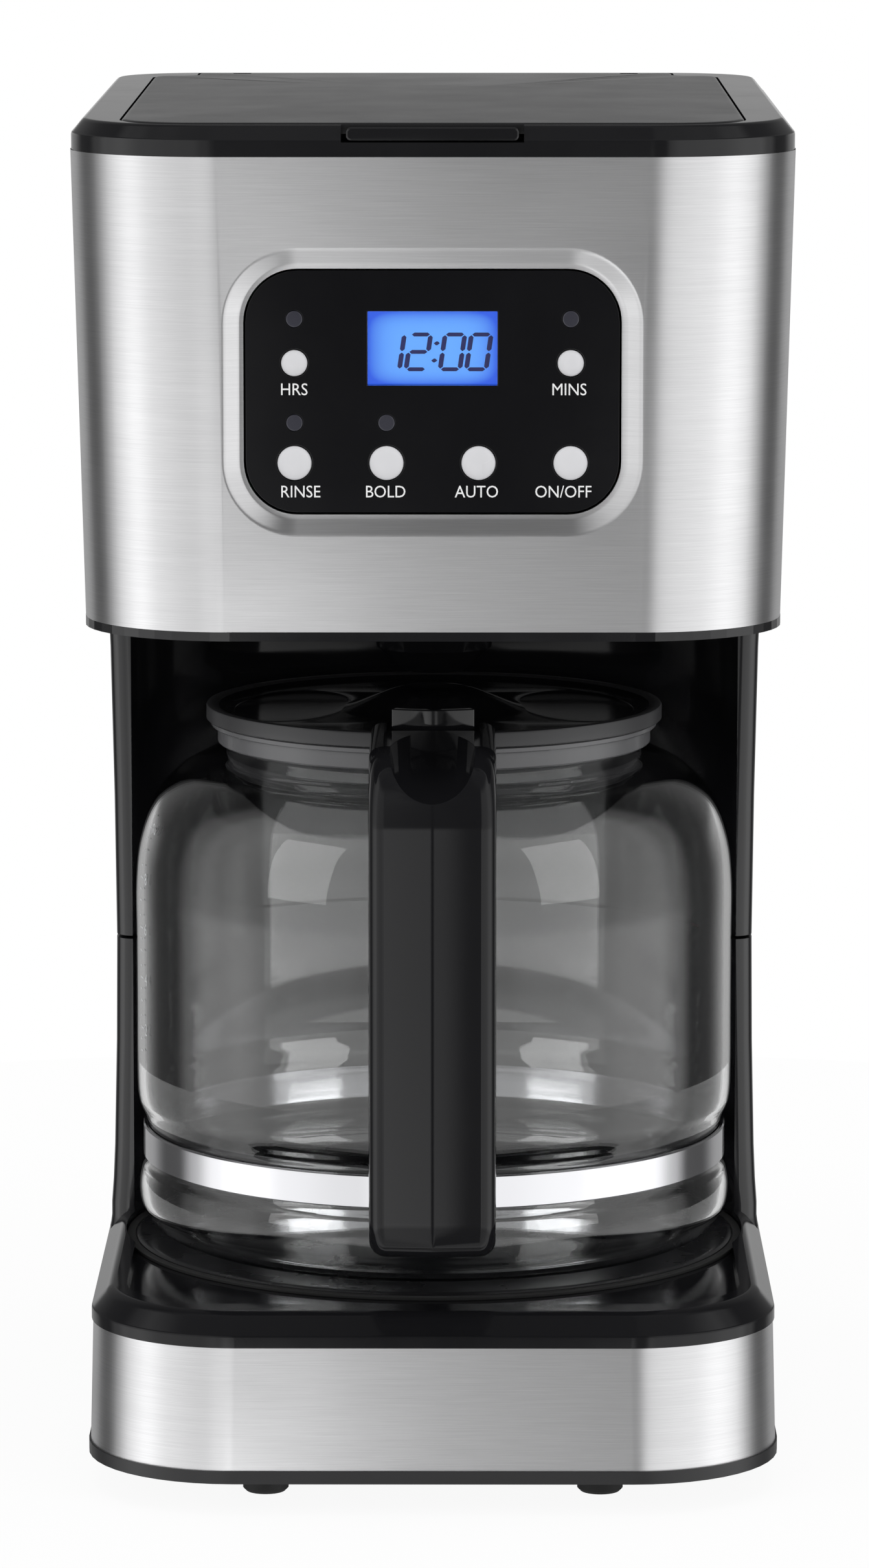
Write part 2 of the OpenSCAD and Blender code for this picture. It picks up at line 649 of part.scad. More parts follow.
// Slots in the lid's rear edge, through which the lugs reach as it opens.
module lug_slots() for (s = [-1, 1])
    translate([s * (barrel_w / 2 + move_gap + lug_w / 2) - lug_w / 2 - move_gap,
        hinge_y - lug_r - slot_gap, hinge_z - lug_r - slot_gap])
        cube([lug_w + 2 * move_gap, 20, 20]);

skirt_inset = steel_t + fit_gap + 0.6;
module top_frame() color(black) difference() {
    union() {
        difference() {
            loft([at_z(machine(head_hw, 0.2), frame_z), at_z(machine(head_hw, 0.2), tab_z),
                at_z(machine(head_hw, frame_top_in), frame_top_z)]);
            slab(lid_plan(move_gap, hinge_y + lid_swing, shoulder_gap), frame_z - 1, frame_top_z + 5);
        }
        slab_ring(machine(head_hw, skirt_inset), machine(head_hw, skirt_inset + wall), frame_z - 6, frame_z);
        lugs();
    }
    rod_x(pin_r + pin_play, barrel_w + 2 * (lug_w + move_gap) + 2, hinge_y, hinge_z);
    translate([-tab_w / 2 - 1.2, front_y - 1, tab_z - 0.4]) cube([tab_w + 2.4, 12, 20]);
}

module lid() color(dark) {
    difference() {
        union() {
            loft([at_z(lid_plan(0, lid_y1), lid_low_z), at_z(lid_plan(0, lid_y1), frame_top_z - 0.3),
                at_z(lid_plan(-0.8, lid_y1 - 0.8), frame_top_z + 0.3),
                at_z([for (p = lid_plan(0, lid_y1))
                    [p[0] * crown_share[0], (p[1] - axis_y) * crown_share[1] + axis_y]], lid_top_z)]);
            rod_x(barrel_r, barrel_w, hinge_y, hinge_z);
            translate([-barrel_w / 2, hinge_y - barrel_r, hinge_z])
                cube([barrel_w, 2 * barrel_r, lid_low_z - hinge_z + 1]);
            translate([-tab_w / 2, front_y - 0.3, tab_z]) cube([tab_w, lid_y0 - front_y + 3, tab_h]);
        }
        lug_slots();
        rod_x(pin_r + pin_play, barrel_w + 20, hinge_y, hinge_z);
    }
}

module hinge_pins() color(chrome) for (s = [-1, 1])
    rod_x(pin_r, lug_w + 14, hinge_y, hinge_z, s * (barrel_w / 2 + lug_w + move_gap - lug_w / 2 - 7));

// ---- Control panel -------------------------------------------------------

button_travel = 1;
hole_play = 0.25;
back_y = panel_face + panel_t;
row_low = panel_z - 17.2;
row_mid = panel_z + 6.9;
button_x = panel_w / 2 - button_margin;
button_pitch = button_x / 1.5;
small_places = [[-button_x, row_mid], [button_x, row_mid]];
large_places = [for (i = [0:3]) [(i - 1.5) * button_pitch, row_low]];
light_places = [[-button_x, panel_z + 17.5], [button_x, panel_z + 17.5],
    [-button_x, row_low + 9.7], [-button_x + button_pitch, row_low + 9.7]];
window_z = panel_z + 10.4;
board_front = back_y + 6.6;
board_t = 1.6;
switch_h = 3.6;
peg_places = [for (sx = [-1, 1], sz = [-1, 1]) [sx * (panel_x - 2.8), panel_z + sz * 12 - 4]];

module control_panel() color(black) difference() {
    union() {
        translate([0, panel_face, panel_z]) rotate([-90, 0, 0]) linear_extrude(panel_t)
            polygon(rounded(panel_w, panel_h, panel_rad));
        for (p = peg_places) rod_y(2, back_y, board_front, p[0], p[1]);
    }
    for (p = small_places) rod_y(button_small_r + hole_play, panel_face - 1, back_y + 1, p[0], p[1]);
    for (p = large_places) rod_y(button_r + hole_play, panel_face - 1, back_y + 1, p[0], p[1]);
    for (p = light_places) rod_y(light_r + 0.05, panel_face - 1, back_y + 1, p[0], p[1]);
    translate([-window_w / 2 - 0.05, panel_face - 1, window_z - window_h / 2 - 0.05])
        cube([window_w + 0.1, panel_t + 2, window_h + 0.1]);
}

module lcd_window() color(clear) translate([-window_w / 2, panel_face + 0.5, window_z - window_h / 2])
    cube([window_w, 1.6, window_h]);

module lcd_module() color([0.35, 0.55, 0.95]) {
    translate([-window_w / 2 + 0.5, panel_face + 2.1, window_z - window_h / 2 + 0.5])
        cube([window_w - 1, panel_t - 2.1, window_h - 1]);
    translate([-window_w / 2 - 2, back_y, window_z - window_h / 2 - 1.5])
        cube([window_w + 4, board_front - back_y, window_h + 3]);
}

module indicator_lights() color([0.55, 0.12, 0.1]) for (p = light_places) {
    rod_y(light_r, panel_face - 0.3, board_front, p[0], p[1]);
}

module control_board() color([0.14, 0.4, 0.2])
    translate([-panel_x + 0.5, board_front, panel_z - panel_h / 2 + 4])
        cube([panel_w - 1, board_t, panel_h - 7]);

module tact_switches() color([0.2, 0.2, 0.2]) for (p = concat(small_places, large_places)) {
    translate([p[0] - 3, board_front - switch_h + 1, p[1] - 3]) cube([6, switch_h - 1, 6]);
    rod_y(1.6, board_front - switch_h, board_front - switch_h + 1, p[0], p[1]);
}

key_front = panel_face - button_proud;
key_end = board_front - switch_h - button_travel - 0.1;
key_stem_r = 1.6;

// Key with a domed cap, a flange that keeps it in the panel and a stem to its switch.
module button(p, r) color([0.84, 0.84, 0.87]) translate([p[0], 0, p[1]]) rotate([-90, 0, 0])
    rotate_extrude() polygon([[0, key_front], [r - 0.9, key_front + 0.15], [r, key_front + 0.9],
        [r, back_y + 0.3], [r + 1, back_y + 0.3], [r + 1, back_y + 1.4],
        [key_stem_r, back_y + 1.4], [key_stem_r, key_end], [0, key_end]]);

module button_hour() button(small_places[0], button_small_r);
module button_minute() button(small_places[1], button_small_r);
module button_rinse() button(large_places[0], button_r);
module button_bold() button(large_places[1], button_r);
module button_auto() button(large_places[2], button_r);
module button_power() button(large_places[3], button_r);

wire_r = 1.6;
wire_route = curve([
    [38, board_front + board_t + wire_r + 0.1, panel_z - 18], [44, front_y + 24, panel_z - 22],
    [wire_place[0] - 6.5, front_y + 40, head_z + 16], [wire_place[0], axis_y + 10, head_z + 12],
    [wire_place[0], wire_place[1] - 6, head_z + 10], [wire_place[0], wire_place[1], trim_z - 6],
    [wire_place[0], wire_place[1], seam_z + 10], [wire_place[0], wire_place[1], seam_z - 16],
    [wire_place[0] - 8.5, board_y + 2, edge_z + 56], [board_w + 2, board_y + 10, edge_z + 53],
    [board_w / 2 + 0.2, board_y + 12.8, edge_z + 52]], 6);
module wire_harness() color([0.75, 0.1, 0.08]) sweep(wire_route, wire_r, [0.3, 1, 0.2], 8);

module housing_screws() color(chrome) for (p = post_places) translate([p[0], p[1], pan_z + 0.2]) {
    cylinder(r = 3.2, h = 2);
    cylinder(r = screw_r, h = post_top - pan_z - 2);
}

// ---- Shower, basket and drip valve ----------------------------------------

arm_r = 3.2;
head_disc_t = 3.4;
arm_z = shower_z + head_disc_t + 0.2 + arm_r;
hub_r = 7;
arm_turn = atan2(axis_y - riser[1], -riser[0]);
arm_len = norm([riser[0], riser[1] - axis_y]);

module shower_arm() color(dark) translate([riser[0], riser[1], 0]) difference() {
    union() {
        translate([0, 0, riser_top - 4]) cylinder(r = hub_r, h = arm_z + arm_r + 0.8 - riser_top + 4);
        rotate([0, 0, arm_turn]) {
            translate([0, 0, arm_z]) rotate([0, 90, 0]) cylinder(r = arm_r, h = arm_len);
            translate([arm_len, 0, shower_z + head_disc_t])
                cylinder(r = 6.5, h = arm_z + arm_r + 0.8 - shower_z - head_disc_t);
        }
    }
    translate([0, 0, riser_top - 5]) cylinder(r = riser_r + 0.08, h = 5.3);
    translate([0, 0, riser_top - 1]) cylinder(r = 2.4, h = arm_z - riser_top + 1);
    rotate([0, 0, arm_turn]) {
        translate([0, 0, arm_z]) rotate([0, 90, 0]) cylinder(r = 2, h = arm_len);
        translate([arm_len, 0, shower_z]) cylinder(r = 2, h = arm_z - shower_z);
    }
}

module shower_head() color(dark) translate([0, axis_y, shower_z]) difference() {
    cylinder(r = shower_r, h = head_disc_t);
    translate([0, 0, 1.2]) cylinder(r = shower_r - 2, h = 1.2);
    translate([0, 0, 2]) cylinder(r = 2, h = 3);
    for (i = [0:7]) rotate([0, 0, i * 45]) translate([shower_r * 0.62, 0, -1])
        cylinder(r = 1.2, h = 3, $fn = 24);
}

basket_t = 1.8;
basket_bore = 5.6;
outlet_knee_z = outlet_z + 6;
tip_z = outlet_z - 0.2;
seal_z = outlet_z + 9 + valve_travel;
stem_r = 2.2;
spider_z = basket_floor_z + 1;

// Basket with its outlet; a bridge across the outlet guides the valve's stem and holds the spring.
module brew_basket() color(black) translate([0, axis_y, 0]) {
    rotate_extrude() polygon([[basket_bore, outlet_z], [outlet_r, outlet_z], [outlet_top_r, outlet_knee_z],
        [outlet_top_r + 1, outlet_knee_z + 5], [outlet_top_r + 1, basket_floor_z - basket_t],
        [basket_low_r, basket_floor_z - basket_t], [basket_r, basket_top_z - 1.7],
        [well_r - 0.6, basket_top_z - 1.7], [well_r - 0.6, basket_top_z],
        [basket_r - basket_t, basket_top_z], [basket_low_r - basket_t, basket_floor_z],
        [outlet_top_r - 1, basket_floor_z], [outlet_top_r - 1, outlet_z + 10.2],
        [outlet_top_r - 2, outlet_z + 9], [basket_bore, outlet_z + 9]]);
    difference() {
        translate([-outlet_top_r, -3, spider_z - 2.6]) cube([2 * outlet_top_r, 6, 2.6]);
        cylinder(r = stem_r + 0.08, h = 400);
    }
}

filter_r = basket_r - basket_t - 0.8;
module permanent_filter() color([0.72, 0.6, 0.3]) translate([0, axis_y, 0]) {
    rotate_extrude() polygon([[0, spider_z + 1.6], [filter_r - 14, spider_z + 1.6],
        [filter_r, basket_top_z + 0.3], [filter_r + 3, basket_top_z + 0.3],
        [filter_r + 3, basket_top_z + 1.6], [filter_r - 1.2, basket_top_z + 1.6],
        [filter_r - 15, spider_z + 2.8], [0, spider_z + 2.8]]);
}

module drip_valve() color([0.2, 0.2, 0.21]) translate([0, axis_y, 0]) {
    translate([0, 0, tip_z]) cylinder(r = stem_r, h = spider_z + 0.6 - tip_z);
    translate([0, 0, tip_z]) cylinder(r = 4.6, h = 1.6);
    translate([0, 0, seal_z + 2]) cylinder(r = 6, h = 1.4);
}

module valve_seal() color([0.6, 0.25, 0.1]) translate([0, axis_y, seal_z]) difference() {
    cylinder(r = 8, h = 2);
    translate([0, 0, -1]) cylinder(r = stem_r + 0.02, h = 4);
}

coil_r = 4.2;
coil_wire = 0.5;
coil_low = seal_z + 3.4 + coil_wire + 0.05;
coil_top = spider_z - 2.6 - coil_wire - 0.05;
coil_step = 15;
module valve_spring() color(steel) translate([0, axis_y, 0])
    sweep([for (i = [0:spring_turns * 360 / coil_step]) let (a = i * coil_step)
        [coil_r * cos(a), coil_r * sin(a), coil_low + (coil_top - coil_low) * a / (360 * spring_turns)]],
        coil_wire, [0, 0, 1], 6);

// ---- Carafe --------------------------------------------------------------

waist_r = glass_r - 2.6;

// Outside of the glass from the middle of its foot to the top of its neck.
glass_side = curve([
    [0, glass_z + 1.2], [50, glass_z + 1], [glass_r - 12, glass_z], [glass_r - 5, glass_z + 2.2],
    [glass_r - 0.6, glass_z + 9.5], [glass_r - 1, chrome_z - 4], [waist_r, chrome_z - 0.6],
    [waist_r, chrome_z + chrome_h + 1], [glass_r - 0.5, chrome_z + chrome_h + 6], [glass_r, glass_z + 44],
    [glass_r, glass_top - 38], [glass_r - 1, glass_top - 27], [glass_r - 5, glass_top - 15.5],
    [glass_r - 12.4, glass_top - 7.4], [neck_r + 6, glass_top - 4.7], [neck_r + 2, glass_top - 3.5],
    [neck_r, glass_top - 1.8], [neck_r, glass_top - 0.9], [neck_r, glass_top]], 2);
function inward(p, t) = [for (i = [0:len(p) - 1]) let (d = tangent(p, i))
    i == 0 ? [0, p[0][1] + t] : i == len(p) - 1 ? [p[i][0] - t, p[i][1]]
        : [p[i][0] - t * d[1], min(p[i][1] + t * d[0], glass_top - 0.1)]];
function backward(p) = [for (i = [len(p) - 1:-1:0]) p[i]];

module carafe_glass() color(clear) translate([0, axis_y, 0]) rotate_extrude($fn = 160)
    polygon(concat(glass_side, backward(inward(glass_side, glass_t))));

module carafe_band() color(chrome) translate([0, axis_y, 0]) rotate_extrude($fn = 160)
    polygon([[waist_r + 0.25, chrome_z], [waist_r + 1.1, chrome_z], [waist_r + 1.1, chrome_z + chrome_h],
        [waist_r + 0.25, chrome_z + chrome_h]]);

collar_r = neck_r + 2.2;
module carafe_collar() color(dark) translate([0, axis_y, 0]) rotate_extrude($fn = 128)
    polygon([[neck_r + 0.1, glass_top - 1.2], [collar_r, glass_top - 1.2], [collar_r, rim_z],
        [carafe_lid_r - 0.1, rim_z], [carafe_lid_r - 0.1, rim_z + 1.4], [neck_r - 2.4, rim_z + 1.4],
        [neck_r - 2.4, glass_top + 0.1], [neck_r + 0.1, glass_top + 0.1]]);

grip_top = glass_top + 11.6;
grip_low = glass_z + 15.6;
arm_low = glass_top - 0.6;
foot_top = chrome_z + chrome_h - 0.4;
ear_w = 4;
scoop_r = 0.3 * grip_w;
lever_hinge = [axis_y - carafe_lid_r - 6.5, rim_z + 4.6];
carafe_pin_r = 1.2;

// Side outline of the handle; f is the reach forward of the carafe's axis.
function side(f, z) = [axis_y - f, z];
function side_arc(f, z, r, a0, a1) = [for (p = arc(f, z, r, a0, a1, 8)) side(p[0], p[1])];
grip_side = concat([side(neck_r, grip_top)],
    side_arc(handle_reach - 18, grip_top - 18, 18, 90, 0),
    side_arc(handle_reach - 14, grip_low + 14, 14, 0, -90),
    [side(waist_r, grip_low), side(waist_r, foot_top)],
    side_arc(handle_reach - grip_d - 6, foot_top + 6, 6, -90, 0),
    side_arc(handle_reach - grip_d - 8, arm_low - 8, 8, 0, 90), [side(neck_r, arm_low)]);

module along_x(w) translate([-w / 2, 0, 0]) rotate([90, 0, 90]) linear_extrude(w) children();

module carafe_handle() color(black) difference() {
    intersection() {
        along_x(grip_w) polygon(grip_side);
        translate([0, 200, (grip_top + grip_low) / 2]) rotate([90, 0, 0]) linear_extrude(400)
            polygon(rounded(grip_w, grip_top + 2.4 - grip_low, 9));
        slab(plan(grip_w / 2, axis_y - handle_reach, axis_y, 9, 1), 0, 300);
    }
    translate([0, axis_y, 0]) cylinder(r = collar_r + 0.05, h = 2 * grip_top, $fn = 128);
    translate([0, axis_y, 0]) cylinder(r = waist_r + 1.15, h = chrome_z + chrome_h + 6, $fn = 160);
    translate([0, axis_y, 0]) cylinder(r = glass_r + 0.4, h = chrome_z - 0.4, $fn = 160);
    translate([0, axis_y, rim_z - 0.1]) cylinder(r = carafe_lid_r + 1, h = handle_reach);
    translate([-lever_w / 2 - move_gap, axis_y - carafe_lid_r - 15, rim_z - 0.1])
        cube([lever_w + 2 * move_gap, 16, handle_reach]);
    translate([0, axis_y - carafe_lid_r - 11.5, grip_top + 6]) rotate([90 + 16, 0, 0])
        cylinder(r = scoop_r, h = handle_reach);
    rod_x(carafe_pin_r + 0.02, grip_w + 2, lever_hinge[0], lever_hinge[1]);
    translate([0, axis_y - waist_r - 10, grip_low - 1]) cylinder(r = 2.7, h = 3);
    translate([0, axis_y - waist_r - 10, grip_low - 1]) cylinder(r = 1.35, h = 10);
}

module handle_screw() color(chrome) translate([0, axis_y - waist_r - 10, grip_low + 0.3]) {
    cylinder(r = 2.6, h = 1.7);
    cylinder(r = 1.3, h = 8);
}

module carafe_lid() color(black) translate([0, axis_y, 0]) difference() {
    rotate_extrude($fn = 128) polygon([[4, lid_z - 6], [5.6, lid_z - 6], [5.6, hub_top - 3],
        [7, hub_top - 3], [20, lid_z], [neck_r - 6, lid_z], [neck_r - 6, lid_z - 9],
        [neck_r - 4, lid_z - 9], [neck_r - 4, lid_z], [carafe_lid_r, lid_z],
        [carafe_lid_r, lid_top - 0.6], [carafe_lid_r - 0.8, lid_top], [carafe_lid_r - 3, lid_top],
        [carafe_lid_r - 7, lid_top - 1.8], [22, lid_top - 1.8], [8.5, hub_top], [6, hub_top],
        [4, hub_top - 3]]);
}

// The lever's plate is bowed about an upright axis near the lid's edge.
bow_y = axis_y - carafe_lid_r + 13;
bow_r = 24;
lever_t = 2.8;
module thumb_lever() color(black) difference() {
    union() {
        slab(concat(arc(0, bow_y, bow_r, 270 - 27, 270 + 27, 10),
            arc(0, bow_y, bow_r - lever_t, 270 + 30, 270 - 30, 10)), lever_hinge[1] - 2.6, outlet_z - 1);
        rod_x(2.6, lever_w, lever_hinge[0], lever_hinge[1]);
        translate([-lever_w / 2 + 1, lever_hinge[0], lever_hinge[1] - 1.4]) cube([lever_w - 2, 14, 2.6]);
    }
    rod_x(carafe_pin_r + 0.07, lever_w + 10, lever_hinge[0], lever_hinge[1]);
    translate([0, axis_y, 0]) cylinder(r = carafe_lid_r + 0.02, h = 400, $fn = 128);
}

module carafe_hinge_pin() color(chrome) rod_x(carafe_pin_r, grip_w - 1.6, lever_hinge[0], lever_hinge[1]);

// ---- One line for each sub-part --------------------------------------------

rubber_feet();
base_pan();
base_band();
base_deck();
warming_plate();
plate_gasket();
heater_tube();
thermostat();
thermal_fuses();
column_lower();
column_upper();
rear_cover();
cord_gland();
power_board();
check_valve();
inlet_hose();
outlet_hose();
water_tank();
tank_grommet();
riser_tube();
head_tray();
basket_well();
head_band();
top_frame();
control_panel();
lcd_window();
lcd_module();
indicator_lights();
control_board();
tact_switches();
wire_harness();
housing_screws();
lid();
hinge_pins();
button_hour();
button_minute();
button_rinse();
button_bold();
button_auto();
button_power();
shower_arm();
shower_head();
brew_basket();
permanent_filter();
drip_valve();
valve_seal();
valve_spring();
carafe_glass();
carafe_band();
carafe_collar();
carafe_handle();
handle_screw();
carafe_lid();
thumb_lever();
carafe_hinge_pin();
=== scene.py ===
# %% [markdown]
# # A drip coffee maker, dressed for its portrait
#
# The machine is a tall black housing with two wraps of brushed steel: one round the base and one
# round the head, where the control panel sits. A glass carafe stands in the bay between them.
# The solids that fix every size come from the frame, so this script only adds what the eye sees:
# soft edges, stamped and moulded shapes, printed marks and the finish of each surface.

# %% Load the frame
import json
import math

import bmesh
import bpy
from mathutils import Matrix, Vector
from mathutils.geometry import interpolate_bezier


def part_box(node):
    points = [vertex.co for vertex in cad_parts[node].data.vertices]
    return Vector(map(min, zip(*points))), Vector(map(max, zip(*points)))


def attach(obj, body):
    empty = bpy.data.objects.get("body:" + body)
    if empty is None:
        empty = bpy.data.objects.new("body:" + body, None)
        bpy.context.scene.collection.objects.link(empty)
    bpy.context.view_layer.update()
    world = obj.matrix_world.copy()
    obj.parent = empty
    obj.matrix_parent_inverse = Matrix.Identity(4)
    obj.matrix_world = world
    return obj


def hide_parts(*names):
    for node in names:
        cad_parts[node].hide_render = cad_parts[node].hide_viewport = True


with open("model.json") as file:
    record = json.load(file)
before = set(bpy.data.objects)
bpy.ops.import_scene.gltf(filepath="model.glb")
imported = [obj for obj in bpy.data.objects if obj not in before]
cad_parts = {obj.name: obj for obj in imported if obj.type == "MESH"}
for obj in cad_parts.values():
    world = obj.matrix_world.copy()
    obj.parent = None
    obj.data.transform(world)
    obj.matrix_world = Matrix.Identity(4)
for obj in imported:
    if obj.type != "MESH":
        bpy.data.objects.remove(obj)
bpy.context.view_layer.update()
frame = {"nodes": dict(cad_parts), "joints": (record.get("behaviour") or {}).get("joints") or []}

# %% [markdown]
# ## Sizes
#
# Most sizes are read from the frame's own boxes, so a piece always lands on the solid it stands
# for. A few radii and steps can't be read from a box, and they are named here in millimetres.

# %% Sizes from the frame
MM = 0.001
scene = bpy.context.scene
axis_y = (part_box("warming_plate")[0].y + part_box("warming_plate")[1].y) / 2
band_low, band_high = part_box("head_band")
front_y = band_low.y
rear_y = band_high.y
corner_radius = 36.5 * MM
rear_radius = 25 * MM
cheek_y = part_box("column_lower")[0].y
recess_radius = 80.5 * MM
wall = 2.4 * MM
print("carafe axis at y =", round(axis_y, 5), "front at y =", round(front_y, 5))

# %% [markdown]
# ## Camera
#
# The eye stands 1.77 m in front of the carafe, a little above the machine, and looks slightly
# down. A long lens keeps the verticals nearly parallel. The frame is taller than wide, so the
# sensor's long side is the height.

# %% Camera
eye = Vector((6.3 * MM, -1777.25 * MM, 432.5 * MM))
pitch = math.radians(90 - 8.56)
yaw = math.radians(0.2)
camera = bpy.data.objects.new("camera", bpy.data.cameras.new("camera"))
camera.location = eye
camera.rotation_euler = (pitch, 0, yaw)
camera.data.lens = 159.6
camera.data.sensor_width = 36
camera.data.clip_start = 0.05
camera.data.clip_end = 50
scene.collection.objects.link(camera)
scene.camera = camera
scene.view_settings.view_transform = "Standard"
print("camera lens", camera.data.lens, "mm")

# %% [markdown]
# ## Node helpers
#
# A material is a small graph. These helpers make one node, set its plain values and return it, so
# that each finish below reads like a list of what it is made of. Patterns are read in Object
# coordinates: a piece's object sits at the origin, so the pattern stays where it is when the
# piece moves with its joint.

# %% Node helpers
def add(tree, kind, **values):
    """Adds a node; a value named after a socket goes to the socket, any other to the node."""
    node = tree.nodes.new(kind)
    for key, value in values.items():
        name = key.replace("_", " ")
        if name in node.inputs:
            node.inputs[name].default_value = value
        else:
            setattr(node, key, value)
    return node


def new_material(name):
    """A material with one Principled shader; returns both and their tree."""
    finish = bpy.data.materials.new(name)
    finish.use_nodes = True
    tree = finish.node_tree
    tree.nodes.clear()
    output = tree.nodes.new("ShaderNodeOutputMaterial")
    shader = tree.nodes.new("ShaderNodeBsdfPrincipled")
    tree.links.new(shader.outputs[0], output.inputs[0])
    return finish, tree, shader


def place(tree, scale):
    """Object coordinates stretched by a scale for each direction, in cycles per metre."""
    source = add(tree, "ShaderNodeTexCoord")
    mapping = add(tree, "ShaderNodeMapping", Scale=scale)
    tree.links.new(source.outputs["Object"], mapping.inputs["Vector"])
    return mapping.outputs["Vector"]


def noise(tree, scale, detail=2.0, roughness=0.5):
    """Noise at a scale for each direction; returns its factor."""
    node = add(tree, "ShaderNodeTexNoise", Scale=1.0, Detail=detail, Roughness=roughness)
    tree.links.new(place(tree, scale), node.inputs["Vector"])
    return node.outputs["Fac"]


def spread(tree, factor, low, high, start=0.3, end=0.7):
    """Maps a factor from start..end to low..high."""
    node = add(tree, "ShaderNodeMapRange")
    for name, value in (("From Min", start), ("From Max", end), ("To Min", low), ("To Max", high)):
        node.inputs[name].default_value = value
    tree.links.new(factor, node.inputs["Value"])
    return node.outputs["Result"]


def blend_colours(tree, factor, one, two):
    """Mixes two colours by a factor."""
    node = tree.nodes.new("ShaderNodeMix")
    node.data_type = "RGBA"
    tree.links.new(factor, node.inputs["Factor"])
    colours = [socket for socket in node.inputs if socket.type == "RGBA"]
    colours[0].default_value = (*one, 1)
    colours[1].default_value = (*two, 1)
    return [socket for socket in node.outputs if socket.type == "RGBA"][0]


def relief(tree, shader, height, strength, distance):
    """Bump from a height factor; distance is the real depth in metres."""
    bump = add(tree, "ShaderNodeBump", Strength=strength, Distance=distance)
    tree.links.new(height, bump.inputs["Height"])
    tree.links.new(bump.outputs["Normal"], shader.inputs["Normal"])
    return bump


# %% [markdown]
# ## Studio
#
# A plain white room: a pale table top that keeps a soft shadow, a lamp on each side, one above,
# and a world that lights evenly. Metal and gloss show what they face, so the world seen by
# reflections is drawn like a studio seen from the machine: tall soft boxes left and right, a dimmer
# front with a dark gap where the camera stands, dark corners, and a backdrop that is pale at the
# table and fades upwards. Each of them is one ramp round the compass times one ramp up and down.

# %% World
FULL = 1.8  # The brightest level that the studio's ramps can hold.
# Level at each compass bearing in degrees: 0 towards the camera, 90 to the right, 180 behind.
studio_parts = (
    # soft boxes
    (((-180, 0), (-120, 0), (-109, 0.5), (-97, 1.2), (-80, 1.65), (-60, 1.15), (-34, 0.98), (-20, 0.88),
      (-10, 0.45),
      (-3, 0), (14, 0), (18, 0.7), (25, 1.12), (55, 1.25), (80, 1.62), (97, 1.35), (109, 0.6), (120, 0),
      (180, 0)),
     ((-90, 0.5), (-32, 0.6), (-20, 1.1), (-9, 1.05), (-6.5, 0.75), (-3, 0.68), (42, 0.68), (60, 0.1),
      (90, 0.1))),
    # the front wall with the camera's gap and a dark corner beside it
    (((-180, 0), (-30, 0), (-16, 0.3), (-8, 0.85), (-2.4, 0.82), (-1.7, 0.04), (1.7, 0.04), (2.4, 0.8),
      (3.8, 0.78),
      (5.5, 0.08), (13, 0.08), (16, 0.5), (24, 0), (180, 0)),
     ((-90, 0.6), (-30, 1.1), (-14, 1.95), (-9, 1.4), (-6.5, 0.9), (-3.4, 0.16), (0, 0.1), (38, 0.1),
      (58, 0.1), (90, 0.1))),
    # the backdrop
    (((-180, 0.5), (-150, 0.42), (-132, 0), (132, 0), (150, 0.42), (180, 0.5)),
     ((-90, 0.5), (-6, 0.7), (0.5, 1), (2.5, 0.8), (4.2, 0.4), (6.5, 0.2), (12, 0.14), (28, 0.12),
      (90, 0.1))),
)
studio_shade = 0.1


def levels(tree, angle, stops, whole):
    """A ramp over an angle in degrees, from -whole to +whole; returns its level as a share of FULL."""
    share = spread(tree, angle, 0.0, 1.0, -math.radians(whole), math.radians(whole))
    ramp = tree.nodes.new("ShaderNodeValToRGB")
    ramp.color_ramp.interpolation = "EASE"
    elements = ramp.color_ramp.elements
    elements.remove(elements[1])
    for i, (bearing, level) in enumerate(stops):
        where = 0.5 + bearing / (2 * whole)
        element = elements[0] if i == 0 else elements.new(where)
        element.position = where
        element.color = (level / FULL, level / FULL, level / FULL, 1)
    tree.links.new(share, ramp.inputs["Fac"])
    return ramp.outputs["Color"]


def maths(tree, operation, one, two=None):
    """One arithmetic node; a plain number goes to the socket, anything else is linked."""
    node = tree.nodes.new("ShaderNodeMath")
    node.operation = operation
    for socket, value in zip(node.inputs, (one, two)):
        if isinstance(value, (int, float)):
            socket.default_value = value
        elif value is not None:
            tree.links.new(value, socket)
    return node.outputs[0]


def glow_node(tree, strength, level=None):
    node = add(tree, "ShaderNodeBackground", Strength=strength)
    node.inputs["Color"].default_value = (1, 1, 1, 1)
    if level is not None:
        tree.links.new(level, node.inputs["Color"])
    return node.outputs[0]


def choose(tree, switch, no, yes):
    node = tree.nodes.new("ShaderNodeMixShader")
    for socket, value in zip(node.inputs, (switch, no, yes)):
        tree.links.new(value, socket)
    return node.outputs[0]


def use_surface(tree, value):
    """Makes a shader the one that the material shows."""
    output = [node for node in tree.nodes if node.type == "OUTPUT_MATERIAL"][0]
    tree.links.new(value, output.inputs[0])


